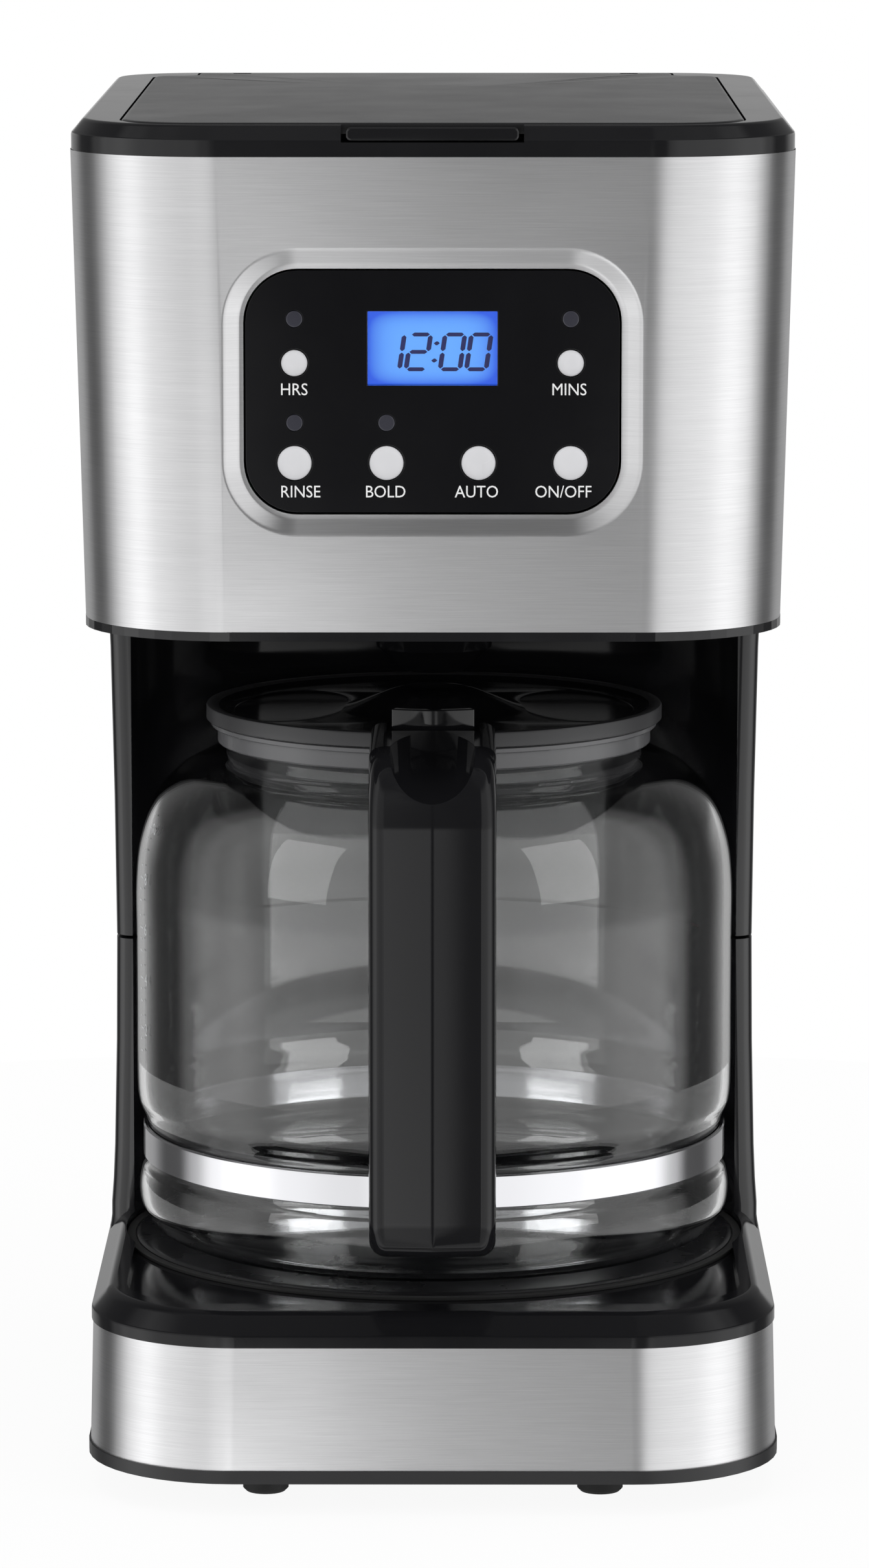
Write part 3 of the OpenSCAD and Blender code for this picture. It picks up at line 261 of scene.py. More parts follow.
def studio_world():
    world = bpy.data.worlds.new("studio")
    scene.world = world
    world.use_nodes = True
    tree = world.node_tree
    tree.nodes.clear()
    output = tree.nodes.new("ShaderNodeOutputWorld")
    way = tree.nodes.new("ShaderNodeSeparateXYZ")
    tree.links.new(tree.nodes.new("ShaderNodeTexCoord").outputs["Generated"], way.inputs[0])
    bearing = maths(tree, "ARCTAN2", way.outputs["X"], maths(tree, "MULTIPLY", way.outputs["Y"], -1.0))
    height = maths(tree, "ARCSINE", way.outputs["Z"])
    total = studio_shade / FULL
    for round_stops, height_stops in studio_parts:
        seen = maths(tree, "MULTIPLY", levels(tree, bearing, round_stops, 180),
                     levels(tree, height, height_stops, 90))
        total = maths(tree, "ADD", maths(tree, "MULTIPLY", seen, FULL), total)
    rays = tree.nodes.new("ShaderNodeLightPath")
    mirrored = maths(tree, "MAXIMUM", rays.outputs["Is Glossy Ray"], rays.outputs["Is Transmission Ray"])
    lit = choose(tree, mirrored, glow_node(tree, 0.62), glow_node(tree, FULL, total))
    tree.links.new(choose(tree, rays.outputs["Is Camera Ray"], lit, glow_node(tree, 1.0)), output.inputs[0])
    return world


studio_world()
print("world:", len(scene.world.node_tree.nodes), "nodes")

# %% Floor
def pale_floor():
    """White to the camera, with part of the lamps' shadow kept."""
    finish, tree, shader = new_material("pale_floor")
    shader.inputs["Base Color"].default_value = (0.9, 0.9, 0.9, 1)
    shader.inputs["Roughness"].default_value = 0.9
    shader.inputs["Specular IOR Level"].default_value = 0.0
    glow = add(tree, "ShaderNodeEmission", Strength=1.0)
    rays = tree.nodes.new("ShaderNodeLightPath")
    part = add(tree, "ShaderNodeMath", operation="MULTIPLY")
    part.inputs[1].default_value = 0.93
    tree.links.new(rays.outputs["Is Camera Ray"], part.inputs[0])
    use_surface(tree, choose(tree, part.outputs[0], shader.outputs[0], glow.outputs[0]))
    return finish


floor_mesh = bmesh.new()
bmesh.ops.create_circle(floor_mesh, cap_ends=True, segments=96, radius=0.5)
floor_data = bpy.data.meshes.new("floor")
floor_mesh.to_mesh(floor_data)
floor_mesh.free()
floor = bpy.data.objects.new("floor", floor_data)
floor_data.materials.append(pale_floor())
scene.collection.objects.link(floor)
floor.visible_glossy = False
print("floor laid")

# %% Lamps
def lamp(name, place_at, look_at, width, height, watts):
    data = bpy.data.lights.new(name, "AREA")
    data.shape = "RECTANGLE"
    data.size, data.size_y = width, height
    data.energy = watts
    lit = bpy.data.objects.new(name, data)
    lit.location = place_at
    lit.rotation_euler = (Vector(look_at) - Vector(place_at)).to_track_quat("-Z", "Y").to_euler()
    lit.visible_camera = False
    scene.collection.objects.link(lit)
    return lit


middle = (0, 0, 0.18)
lamps = [
    lamp("soft_left", (-1.5, -1.1, 0.75), middle, 0.9, 1.3, 10),
    lamp("soft_right", (1.5, -1.1, 0.75), middle, 0.9, 1.3, 10),
    lamp("soft_top", (0, -0.1, 1.7), middle, 1.4, 1.2, 9),
]
for lit in lamps:
    lit.visible_glossy = False
print("lamps:", [lit.name for lit in lamps])

# %% [markdown]
# ## Finishes
#
# One short function for each finish. Colours are written as linear light, the way Blender stores
# them. A finish is never one flat colour: steel has its brush lines, moulded plastic its fine
# grain and the faint unevenness that handling leaves in its gloss.

# %% Brushed steel
steel_bow = 0.36  # How fast the sheet's slope grows, per metre and half.


def brushed_steel():
    """Horizontal brush lines: light spreads up and down, so the sheen stands in upright bands."""
    finish, tree, shader = new_material("brushed_steel")
    shader.inputs["Metallic"].default_value = 1.0
    shader.inputs["Anisotropic"].default_value = 0.75
    shader.inputs["Anisotropic Rotation"].default_value = 0.25
    tangent = add(tree, "ShaderNodeTangent", direction_type="RADIAL", axis="Z")
    tree.links.new(tangent.outputs[0], shader.inputs["Tangent"])
    lines = noise(tree, (60, 60, 7000), detail=3.0, roughness=0.7)
    cloud = noise(tree, (14, 14, 30), detail=2.0)
    tone = blend_colours(tree, spread(tree, lines, 0.0, 1.0), (0.64, 0.64, 0.647), (0.75, 0.75, 0.758))
    tree.links.new(tone, shader.inputs["Base Color"])
    tree.links.new(spread(tree, cloud, 0.27, 0.35), shader.inputs["Roughness"])
    brush = relief(tree, shader, lines, 0.25, 0.00002)
    # A bent sheet springs out a little between its corners; the bow is far too flat to model.
    source = tree.nodes.new("ShaderNodeTexCoord")
    split = tree.nodes.new("ShaderNodeSeparateXYZ")
    tree.links.new(source.outputs["Object"], split.inputs[0])
    across = split.outputs["X"]
    bow = add(tree, "ShaderNodeBump", Strength=1.0, Distance=1.0)
    tree.links.new(maths(tree, "MULTIPLY", maths(tree, "MULTIPLY", across, across), -steel_bow),
                   bow.inputs["Height"])
    tree.links.new(bow.outputs["Normal"], brush.inputs["Normal"])
    return finish


# %% Moulded plastics
def moulded_plastic(name, colour, rough_low, rough_high, grain, depth, sheen=0.5):
    """Injection-moulded plastic: one colour, an uneven gloss and a fine grain in the surface."""
    finish, tree, shader = new_material(name)
    shader.inputs["Specular IOR Level"].default_value = sheen
    shader.inputs["IOR"].default_value = 1.5
    patches = noise(tree, (35, 35, 35), detail=4.0, roughness=0.6)
    tree.links.new(spread(tree, patches, rough_low, rough_high), shader.inputs["Roughness"])
    dark = [value * 0.88 for value in colour]
    tree.links.new(blend_colours(tree, patches, dark, colour), shader.inputs["Base Color"])
    relief(tree, shader, noise(tree, (grain, grain, grain), detail=2.0), 0.35, depth)
    return finish


# %% Metals without brush lines
def plain_metal(name, colour, roughness, grain):
    finish, tree, shader = new_material(name)
    shader.inputs["Metallic"].default_value = 1.0
    patches = noise(tree, (60, 60, 60), detail=3.0)
    tree.links.new(spread(tree, patches, roughness * 0.8, roughness * 1.25), shader.inputs["Roughness"])
    pale = [min(value * 1.06, 1.0) for value in colour]
    tree.links.new(blend_colours(tree, patches, colour, pale), shader.inputs["Base Color"])
    relief(tree, shader, noise(tree, (grain, grain, grain)), 0.15, 0.00002)
    return finish


# %% Glass and clear plastics
def clear(name, colour, roughness, ior=1.5, shade=0.85):
    """Refracting glass that lets the lamps through, so what stands behind it isn't in black shadow."""
    finish, tree, shader = new_material(name)
    shader.inputs["Base Color"].default_value = (*colour, 1)
    shader.inputs["IOR"].default_value = ior
    shader.inputs["Transmission Weight"].default_value = 1.0
    ripple = noise(tree, (40, 40, 25), detail=1.0)
    tree.links.new(spread(tree, ripple, roughness, roughness + 0.01), shader.inputs["Roughness"])
    through = tree.nodes.new("ShaderNodeBsdfTransparent")
    through.inputs["Color"].default_value = (*[value * shade for value in colour], 1)
    rays = tree.nodes.new("ShaderNodeLightPath")
    use_surface(tree, choose(tree, rays.outputs["Is Shadow Ray"], shader.outputs[0], through.outputs[0]))
    return finish


# %% Printed inks and the lit display
def ink(name, colour, roughness=0.5):
    finish, tree, shader = new_material(name)
    tone = blend_colours(tree, noise(tree, (900, 900, 900)), [v * 0.93 for v in colour], colour)
    tree.links.new(tone, shader.inputs["Base Color"])
    shader.inputs["Roughness"].default_value = roughness
    return finish


def lit_display(centre, half_width, half_height):
    """A blue backlight that is palest in the middle and deepens towards the window's edges."""
    finish, tree, shader = new_material("display_glow")
    source = tree.nodes.new("ShaderNodeTexCoord")
    mapping = add(tree, "ShaderNodeMapping", vector_type="TEXTURE")
    mapping.inputs["Location"].default_value = centre
    mapping.inputs["Scale"].default_value = (half_width, 1.0, half_height)
    tree.links.new(source.outputs["Object"], mapping.inputs["Vector"])
    split = tree.nodes.new("ShaderNodeSeparateXYZ")
    tree.links.new(mapping.outputs[0], split.inputs[0])
    powers = []
    for name in ("X", "Z"):
        size = add(tree, "ShaderNodeMath", operation="ABSOLUTE")
        tree.links.new(split.outputs[name], size.inputs[0])
        power = add(tree, "ShaderNodeMath", operation="POWER")
        power.inputs[1].default_value = 5.0
        tree.links.new(size.outputs[0], power.inputs[0])
        powers.append(power)
    edge = add(tree, "ShaderNodeMath", operation="ADD", use_clamp=True)
    tree.links.new(powers[0].outputs[0], edge.inputs[0])
    tree.links.new(powers[1].outputs[0], edge.inputs[1])
    glow = blend_colours(tree, edge.outputs[0], (0.13, 0.40, 1.0), (0.02, 0.10, 0.75))
    tree.links.new(glow, shader.inputs["Emission Color"])
    shader.inputs["Emission Strength"].default_value = 1.0
    shader.inputs["Base Color"].default_value = (0.01, 0.02, 0.05, 1)
    shader.inputs["Roughness"].default_value = 0.4
    return finish


# %% All the finishes
BLACK = (0.0075, 0.0075, 0.0085)
finishes = {
    "brushed_steel": brushed_steel(),
    "gloss_black": moulded_plastic("gloss_black", BLACK, 0.05, 0.11, 1600, 0.000004),
    "handle_black": moulded_plastic("handle_black", BLACK, 0.04, 0.07, 1600, 0.000003, 0.25),
    "deck_black": moulded_plastic("deck_black", BLACK, 0.06, 0.12, 1600, 0.000004, 0.28),
    "panel_black": moulded_plastic("panel_black", (0.0035, 0.0035, 0.0045), 0.06, 0.1, 2500, 0.000003, 0.4),
    "satin_black": moulded_plastic("satin_black", (0.011, 0.011, 0.012), 0.32, 0.42, 2600, 0.00002),
    "lid_satin": moulded_plastic("lid_satin", (0.010, 0.010, 0.011), 0.19, 0.22, 3200, 0.000004),
    "rim_satin": moulded_plastic("rim_satin", (0.036, 0.036, 0.038), 0.3, 0.38, 2600, 0.00001),
    # The collar's light grey is painted highlight: the black plastic ring is lightened to stand in for the
    # shine of a glassy neck ring.
    "neck_painted_highlight": moulded_plastic("neck_painted_highlight", (0.13, 0.13, 0.135), 0.14, 0.2, 2600, 0.000006),
    "rubber": moulded_plastic("rubber", (0.012, 0.012, 0.012), 0.6, 0.8, 1800, 0.00003),
    "dark_coating": moulded_plastic("dark_coating", (0.008, 0.008, 0.009), 0.22, 0.34, 2200, 0.00002),
    "silver_key": moulded_plastic("silver_key", (0.72, 0.72, 0.74), 0.26, 0.34, 2500, 0.000005),
    "chrome": plain_metal("chrome", (0.66, 0.66, 0.68), 0.12, 900),
    "steel": plain_metal("steel", (0.55, 0.55, 0.56), 0.3, 700),
    "aluminium": plain_metal("aluminium", (0.6, 0.61, 0.63), 0.45, 500),
    "gold_mesh": plain_metal("gold_mesh", (0.62, 0.45, 0.16), 0.3, 1800),
    "circuit_green": moulded_plastic("circuit_green", (0.015, 0.09, 0.03), 0.3, 0.45, 700, 0.00005),
    "red_wire": moulded_plastic("red_wire", (0.35, 0.02, 0.015), 0.4, 0.5, 900, 0.00002),
    "orange_seal": moulded_plastic("orange_seal", (0.3, 0.06, 0.015), 0.45, 0.6, 900, 0.00002),
    "milky_hose": moulded_plastic("milky_hose", (0.45, 0.45, 0.42), 0.35, 0.5, 900, 0.00002),
    "milky_plastic": moulded_plastic("milky_plastic", (0.6, 0.62, 0.62), 0.3, 0.4, 900, 0.00002),
    "light_lens": moulded_plastic("light_lens", (0.034, 0.034, 0.046), 0.1, 0.16, 900, 0.000005),
    "carafe_glass": clear("carafe_glass", (0.97, 0.975, 0.975), 0.0),
    "smoke_plastic": clear("smoke_plastic", (0.42, 0.44, 0.46), 0.12),
    "clear_window": clear("clear_window", (0.98, 0.98, 0.99), 0.0, ior=1.3),
    "white_ink": ink("white_ink", (0.86, 0.86, 0.86)),
    "silver_ink": ink("silver_ink", (0.55, 0.56, 0.57)),
    "digit_ink": ink("digit_ink", (0.012, 0.014, 0.10)),
}
print("finishes:", len(finishes))

# %% [markdown]
# ## Mesh helpers
#
# Most shells here are a plan outline with round corners that is raised, drawn in and raised again.
# One face is made from a few corners, its corners are bevelled round, and the face is then
# lifted step by step: an inset with a rise makes a slope, several small ones make a soft edge.
# Round pieces are a profile spun about the carafe's axis.

# %% Mesh helpers
def rounded_face(bm, corners, radii, segments=16):
    """One face through the corners, each corner rounded to its radius."""
    before = set(bm.faces)
    verts = [bm.verts.new(corner) for corner in corners]
    bm.faces.new(verts)
    for vert, radius in zip(verts, radii):
        if radius > 0:
            bmesh.ops.bevel(bm, geom=[vert], offset=radius, segments=segments, profile=0.5,
                            affect="VERTICES", material=-1)
    return next(face for face in bm.faces if face not in before)


def plan_face(bm, half, y0, y1, front, rear, z, segments=16):
    """The machine's outline seen from above, as one face."""
    corners = ((-half, y0, z), (half, y0, z), (half, y1, z), (-half, y1, z))
    return rounded_face(bm, corners, (front, front, rear, rear), segments)


def lift(bm, face, rise, inset=0.0, along=Vector((0, 0, 1))):
    """Moves a face along a direction and draws it in; the walls behind it are made."""
    if inset > 0:
        bmesh.ops.inset_region(bm, faces=[face], thickness=inset, use_even_offset=True)
    else:
        face = bmesh.ops.extrude_discrete_faces(bm, faces=[face])["faces"][0]
    bmesh.ops.translate(bm, vec=along * rise, verts=face.verts)
    return face


def widen(bm, face, factor):
    """Scales a face's width about the middle plane."""
    bmesh.ops.scale(bm, vec=(factor, 1, 1), verts=face.verts)


def cap(bm):
    """Closes an open rim with one face and returns that face."""
    edges = [edge for edge in bm.edges if edge.is_boundary]
    return bmesh.ops.contextual_create(bm, geom=edges)["faces"][0]


def block(half, y0, y1, front, rear, z0, z1, segments=16):
    """A closed prism on a rounded plan; returns its bmesh, its top face and its bottom face."""
    bm = bmesh.new()
    top = plan_face(bm, half, y0, y1, front, rear, z0, segments)
    raised = lift(bm, top, z1 - z0)
    return bm, raised, cap(bm)


def revolve(profile, steps=96):
    """Spins a profile of (radius, height) points about the carafe's axis."""
    centre = (0, axis_y, 0)
    bm = bmesh.new()
    verts = [bm.verts.new((radius, centre[1], height)) for radius, height in profile]
    edges = [bm.edges.new(pair) for pair in zip(verts, verts[1:] + verts[:1])]
    bmesh.ops.spin(bm, geom=verts + edges, cent=centre, axis=(0, 0, 1), angle=math.tau,
                   steps=steps, use_merge=True)
    bmesh.ops.remove_doubles(bm, verts=bm.verts, dist=0.000002)
    bmesh.ops.dissolve_degenerate(bm, edges=bm.edges, dist=0.000001)
    bmesh.ops.recalc_face_normals(bm, faces=bm.faces)
    return bm


def rod(radius, start, end, segments=32):
    """A round bar between two points."""
    bm = bmesh.new()
    along = Vector(end) - Vector(start)
    turn = along.to_track_quat("Z", "Y").to_matrix().to_4x4()
    where = Matrix.Translation((Vector(start) + Vector(end)) / 2) @ turn
    bmesh.ops.create_cone(bm, cap_ends=True, segments=segments, radius1=radius, radius2=radius,
                          depth=along.length, matrix=where)
    return bm


def box_shape(low, high):
    """A plain block between two corners."""
    bm = bmesh.new()
    low, high = Vector(low), Vector(high)
    size = high - low
    bmesh.ops.create_cube(bm, size=1.0,
                          matrix=Matrix.Translation((low + high) / 2) @ Matrix.Diagonal((*size, 1)))
    return bm


def loose(bm, name):
    mesh = bpy.data.meshes.new(name)
    bm.to_mesh(mesh)
    bm.free()
    made = bpy.data.objects.new(name, mesh)
    scene.collection.objects.link(made)
    return made


def combine(bm, *tools, operation="DIFFERENCE"):
    """Cuts tools out of a solid, or adds them to it, and returns the new bmesh."""
    target = loose(bm, "target")
    cutters = [loose(tool, "cutter") for tool in tools]
    for cutter in cutters:
        modifier = target.modifiers.new("cut", "BOOLEAN")
        modifier.operation = operation
        modifier.solver = "EXACT"
        modifier.object = cutter
    graph = bpy.context.evaluated_depsgraph_get()
    result = bmesh.new()
    result.from_mesh(target.evaluated_get(graph).to_mesh())
    for spent in (target, *cutters):
        bpy.data.objects.remove(spent, do_unlink=True)
    bmesh.ops.dissolve_limit(result, angle_limit=math.radians(0.3), verts=result.verts, edges=result.edges)
    return result


def merge_in(bm, other):
    """Adds another bmesh's shape beside this one, as a separate island."""
    mesh = bpy.data.meshes.new("part")
    other.to_mesh(mesh)
    other.free()
    bm.from_mesh(mesh)
    bpy.data.meshes.remove(mesh)
    return bm


def finish_piece(made, body, slot, finish, replaced=(), soft=0.0, crease=32, segments=3, weighted=True):
    """Smooths the shading, softens the edges, gives the finish and lets the piece ride its body."""
    mesh = made.data
    mesh.materials.clear()
    mesh.materials.append(finishes[finish])
    mesh.shade_smooth()
    mesh.set_sharp_from_angle(angle=math.radians(crease))
    if soft > 0:
        bevel = made.modifiers.new("soft edges", "BEVEL")
        bevel.width = soft
        bevel.segments = segments
        bevel.limit_method = "ANGLE"
        bevel.angle_limit = math.radians(crease)
        bevel.use_clamp_overlap = True
    if weighted:
        weights = made.modifiers.new("face weights", "WEIGHTED_NORMAL")
        weights.mode = "FACE_AREA"
        weights.weight = 60
        weights.keep_sharp = soft == 0
    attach(made, body)
    if replaced:
        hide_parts(*replaced)
    print("piece:", made.name, len(mesh.polygons), "faces")
    return made


def piece(bm, name, body, slot, finish, replaced=(), recalculate=True, **options):
    """Makes a finished piece from a bmesh."""
    bmesh.ops.remove_doubles(bm, verts=bm.verts, dist=0.000001)
    if recalculate:
        bmesh.ops.recalc_face_normals(bm, faces=bm.faces)
    return finish_piece(loose(bm, name), body, slot, finish, replaced, **options)


def softened(node, name, body, slot, finish, soft=0.0003, **options):
    """A merged copy of a node's own mesh with its flat faces joined and its edges softened."""
    bm = bmesh.new()
    bm.from_mesh(frame["nodes"][node].data)
    bmesh.ops.remove_doubles(bm, verts=bm.verts, dist=0.000001)
    bmesh.ops.dissolve_limit(bm, angle_limit=math.radians(0.5), verts=bm.verts, edges=bm.edges)
    return finish_piece(loose(bm, name), body, slot, finish, (node,), soft=soft, **options)


print("helpers ready")

# %% [markdown]
# ## The steel wraps
#
# Two sheets of brushed steel are bent round the housing. Each is the plan's outline drawn down
# into a wall, a little narrower at one end, and then given the sheet's thickness. The head's wrap
# has a stamped recess that leads the eye down to the control panel: its rings are insets that sink
# along a soft S, so that the press's rounded shoulders catch the light.

# %% Steel wraps
steel_sheet = 0.8 * MM
panel_low, panel_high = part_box("control_panel")
panel_middle = Vector((0, panel_low.y, (panel_low.z + panel_high.z) / 2))
panel_half = (panel_high.x - panel_low.x) / 2
panel_tall = (panel_high.z - panel_low.z) / 2
panel_corner = 12.5 * MM
slope_width = 5.7 * MM
# Each step of the stamping: how far it draws in and how deep it has sunk by then.
stamp_steps = ((0.45, 0.05), (0.4, 0.17), (0.4, 0.36), (2.3, 1.62), (0.4, 1.82), (0.4, 1.94), (0.9, 2.0))


def steel_wrap(low_half, high_half, low_z, high_z):
    bm = bmesh.new()
    face = plan_face(bm, high_half, front_y, rear_y, corner_radius, rear_radius, high_z, 24)
    drawn = bmesh.ops.extrude_edge_only(bm, edges=list(face.edges))["geom"]
    verts = [item for item in drawn if isinstance(item, bmesh.types.BMVert)]
    bmesh.ops.translate(bm, vec=(0, 0, low_z - high_z), verts=verts)
    bmesh.ops.scale(bm, vec=(low_half / high_half, 1, 1), verts=verts)
    bmesh.ops.delete(bm, geom=[face], context="FACES_ONLY")
    return bm


def panel_outline(bm, grow, y):
    """The panel's rounded outline on the plane y, grown by a distance."""
    w, h = panel_half + grow, panel_tall + grow
    corners = [(sx * w, y, panel_middle.z + sz * h) for sx, sz in ((-1, -1), (1, -1), (1, 1), (-1, 1))]
    return rounded_face(bm, corners, [panel_corner + grow] * 4, 16)


def stamp_recess(bm):
    """Opens the front wall and sinks the recess's rings into it."""
    front = max((f for f in bm.faces if abs(f.calc_center_median().y - front_y) < 1e-6),
                key=lambda f: f.calc_area())
    corners = list(front.verts)
    bmesh.ops.delete(bm, geom=[front], context="FACES_ONLY")
    face = panel_outline(bm, slope_width, front_y)
    ring = bmesh.ops.extrude_edge_only(bm, edges=list(face.edges))["geom"]
    ends = {vert: min(corners, key=lambda corner: (corner.co - vert.co).length)
            for vert in ring if isinstance(vert, bmesh.types.BMVert)}
    bmesh.ops.weld_verts(bm, targetmap=ends)
    depth = 0.0
    for inset, sunk in stamp_steps:
        face = lift(bm, face, sunk * MM - depth, inset * MM, Vector((0, 1, 0)))
        depth = sunk * MM
    lip = bmesh.ops.extrude_edge_only(bm, edges=list(face.edges))["geom"]
    bmesh.ops.delete(bm, geom=[face], context="FACES_ONLY")
    bmesh.ops.translate(bm, vec=(0, 1.4 * MM, 0), verts=[v for v in lip if isinstance(v, bmesh.types.BMVert)])


def thicken(made, thickness):
    """Gives a sheet its thickness, inwards from the face that shows."""
    sheet = made.modifiers.new("sheet", "SOLIDIFY")
    sheet.thickness = thickness
    sheet.offset = -1
    made.modifiers.move(len(made.modifiers) - 1, 0)


base_low, base_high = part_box("base_band")
head_skin = steel_wrap(85.5 * MM, band_high.x, band_low.z, band_high.z)
stamp_recess(head_skin)
head = piece(head_skin, "head_wrap", "machine", "brushed_steel", "brushed_steel", ("head_band",), crease=50)
thicken(head, steel_sheet)
base = piece(steel_wrap(base_high.x, 85 * MM, base_low.z, base_high.z), "base_wrap", "machine",
             "brushed_steel", "brushed_steel", ("base_band",))
thicken(base, steel_sheet)

# %% [markdown]
# ## The base
#
# The deck is moulded in glossy black: an upright edge, a slope up to a ridge, and a shallow basin
# round the warming plate. It is lifted from one plan outline and then hollowed with cutters, the way
# a toolmaker would sink the cavities.

# %% Deck, pan and plate
deck_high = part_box("base_deck")[1]
deck_z = base_high.z
deck_edge_z = 45.4 * MM
basin_z = 48 * MM
plate_hole = 76.8 * MM
ridge_steps = ((0.35, 0.12), (0.2, 0.3), (3.6, 3.0), (0.75, 0.9), (0.5, 0.9), (0.2, 0.7))


def cylinder_tool(radius, z0, z1, segments=160):
    return rod(radius, (0, axis_y, z0), (0, axis_y, z1), segments)


def deck_shape():
    edge = 0.4 * MM
    bm, top, _ = block(deck_high.x, front_y - edge, rear_y + edge, corner_radius + edge, rear_radius + edge,
                       deck_z, deck_edge_z - 0.55 * MM, 20)
    for rise, inset in ridge_steps:
        top = lift(bm, top, rise * MM, inset * MM)
    behind = box_shape((-0.2, cheek_y, deck_edge_z), (0.2, 0.2, 0.1))
    basin = block(deck_high.x - 8.8 * MM, front_y + 12.6 * MM, cheek_y + 30 * MM, 24 * MM, 5 * MM, basin_z,
                  0.1, 20)[0]
    under = block(deck_high.x - 3.8 * MM, front_y + 3.4 * MM, rear_y - 3.4 * MM, 33 * MM, 21 * MM, 0.0,
                  44 * MM)[0]
    duct = box_shape((-0.055, axis_y + 0.0828, 0), (0.055, axis_y + 0.1168, 0.1))
    return combine(bm, behind, basin, under, duct, cylinder_tool(79.9 * MM, basin_z, 0.1),
                   cylinder_tool(plate_hole, 0, 0.1))


piece(deck_shape(), "deck", "machine", "black_plastic", "deck_black", ("base_deck",), soft=0.45 * MM)
softened("base_pan", "pan", "machine", "satin_black_plastic", "satin_black", soft=0.4 * MM)


def warming_plate():
    """A pressed disc with a rolled rim and two shallow rings, in a dark non-stick coating."""
    low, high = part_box("warming_plate")
    edge = high.x
    steps = ((0, high.z - 0.5 * MM), (20 * MM, high.z - 0.5 * MM), (21 * MM, high.z - 0.2 * MM),
             (44 * MM, high.z - 0.2 * MM), (45 * MM, high.z - 0.5 * MM), (58 * MM, high.z - 0.5 * MM),
             (60 * MM, high.z - 0.1 * MM), (edge - 3 * MM, high.z - 0.1 * MM), (edge - 1.6 * MM, high.z),
             (edge - 0.6 * MM, high.z - 0.1 * MM), (edge, high.z - 0.6 * MM), (edge, low.z), (0, low.z))
    return revolve(steps, 160)


piece(warming_plate(), "hot_plate", "machine", "dark_steel", "dark_coating", ("warming_plate",), crease=40)
softened("plate_gasket", "gasket", "machine", "rubber", "rubber", soft=0.2 * MM)

# %% [markdown]
# ## The column
#
# Behind the carafe stands a tall hollow column in two glossy mouldings that meet at a thin seam. Its
# front is a concave wall that follows the carafe, with a narrow cheek on each side. The outside
# is lifted in many short steps, because the sides sweep in from the deck and out again to the head.

# %% Column mouldings
low_levels = ((45.4, 85.3), (46.5, 85.05), (48.5, 84.8), (52, 84.78), (58.4, 84.3), (67.4, 83.9),
              (95.4, 83.25), (122.6, 83.0))
up_levels = ((123.4, 83.0), (160, 83.4), (199, 84.2), (216.8, 84.9))


def column_block(levels, inset, stretch=0.0):
    """The column's outside at each level, drawn in by an inset."""
    z, half = levels[0]
    bm = bmesh.new()
    face = plan_face(bm, half * MM - inset, cheek_y + inset, rear_y - inset, 5 * MM - inset,
                     rear_radius - inset,
                     z * MM - stretch, 14)
    for (z0, half0), (z1, half1) in zip(levels, levels[1:]):
        extra = (stretch if z0 == levels[0][0] else 0) + (stretch if z1 == levels[-1][0] else 0)
        face = lift(bm, face, (z1 - z0) * MM + extra)
        widen(bm, face, (half1 * MM - inset) / (half0 * MM - inset))
    cap(bm)
    bmesh.ops.recalc_face_normals(bm, faces=bm.faces)
    return bm


def column_moulding(levels, shelf):
    z0, z1 = levels[0][0] * MM, levels[-1][0] * MM
    hollow = combine(column_block(levels, wall, 1 * MM), cylinder_tool(recess_radius + wall, z0 - 0.01,
                                                                       z1 + 0.01))
    if shelf:
        hollow = combine(hollow, box_shape((-0.2, -0.2, z1 - wall), (0.2, 0.2, z1 + 0.01)))
    tools = [cylinder_tool(recess_radius, z0 - 0.01, z1 + 0.01), hollow]
    cover_low, cover_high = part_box("rear_cover")
    gap = 0.3 * MM
    tools.append(box_shape((cover_low.x + 1.7 * MM - gap, rear_y - wall - 1 * MM, 53.4 * MM),
                           (cover_high.x - 1.7 * MM + gap, rear_y + 0.01, 208.8 * MM)))
    return combine(column_block(levels, 0), *tools)


piece(column_moulding(low_levels, True), "column_foot", "machine", "black_plastic", "gloss_black",
      ("column_lower",), soft=0.5 * MM)
piece(column_moulding(up_levels, False), "column_top", "machine", "black_plastic", "gloss_black",
      ("column_upper",), soft=0.5 * MM)
softened("rear_cover", "back_cover", "machine", "satin_black_plastic", "satin_black", soft=0.4 * MM)

# %% [markdown]
# ## The head's frame and the lid
#
# The head is capped by a glossy black frame with a bevelled edge, and the lid lies in it flush. The
# lid's sides step in near the back, where its hinge barrel turns between the frame's lugs. The opening
# reaches back past the hinge by lid_swing, which leaves room for the lid when it stands open. A
# small pull tab sits in a notch at the front.

# %% Top frame
frame_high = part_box("top_frame")[1]
lid_low, lid_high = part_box("lid")
frame_z = band_high.z
lid_half = 75.5 * MM
lid_front = front_y + 6.5 * MM
lid_gap = 0.4 * MM
tab_half = 20.7 * MM
tab_z = frame_z + 3.9 * MM
tab_tall = 3.1 * MM
crown_y = 20 * MM
top_rise = 1.5 * MM
lid_pillow = 0.75 * MM
lug_x = 52.4 * MM
lid_swing = 7.3 * MM
hinge = Vector([joint for joint in frame["joints"] if joint["name"] == "top_lid_hinge"][0]["pos_m"])
frame_steps = ((0.5, 0.12), (0.25, 0.3), (2.6, 2.1), (0.45, 0.5), (0.2, 0.6))


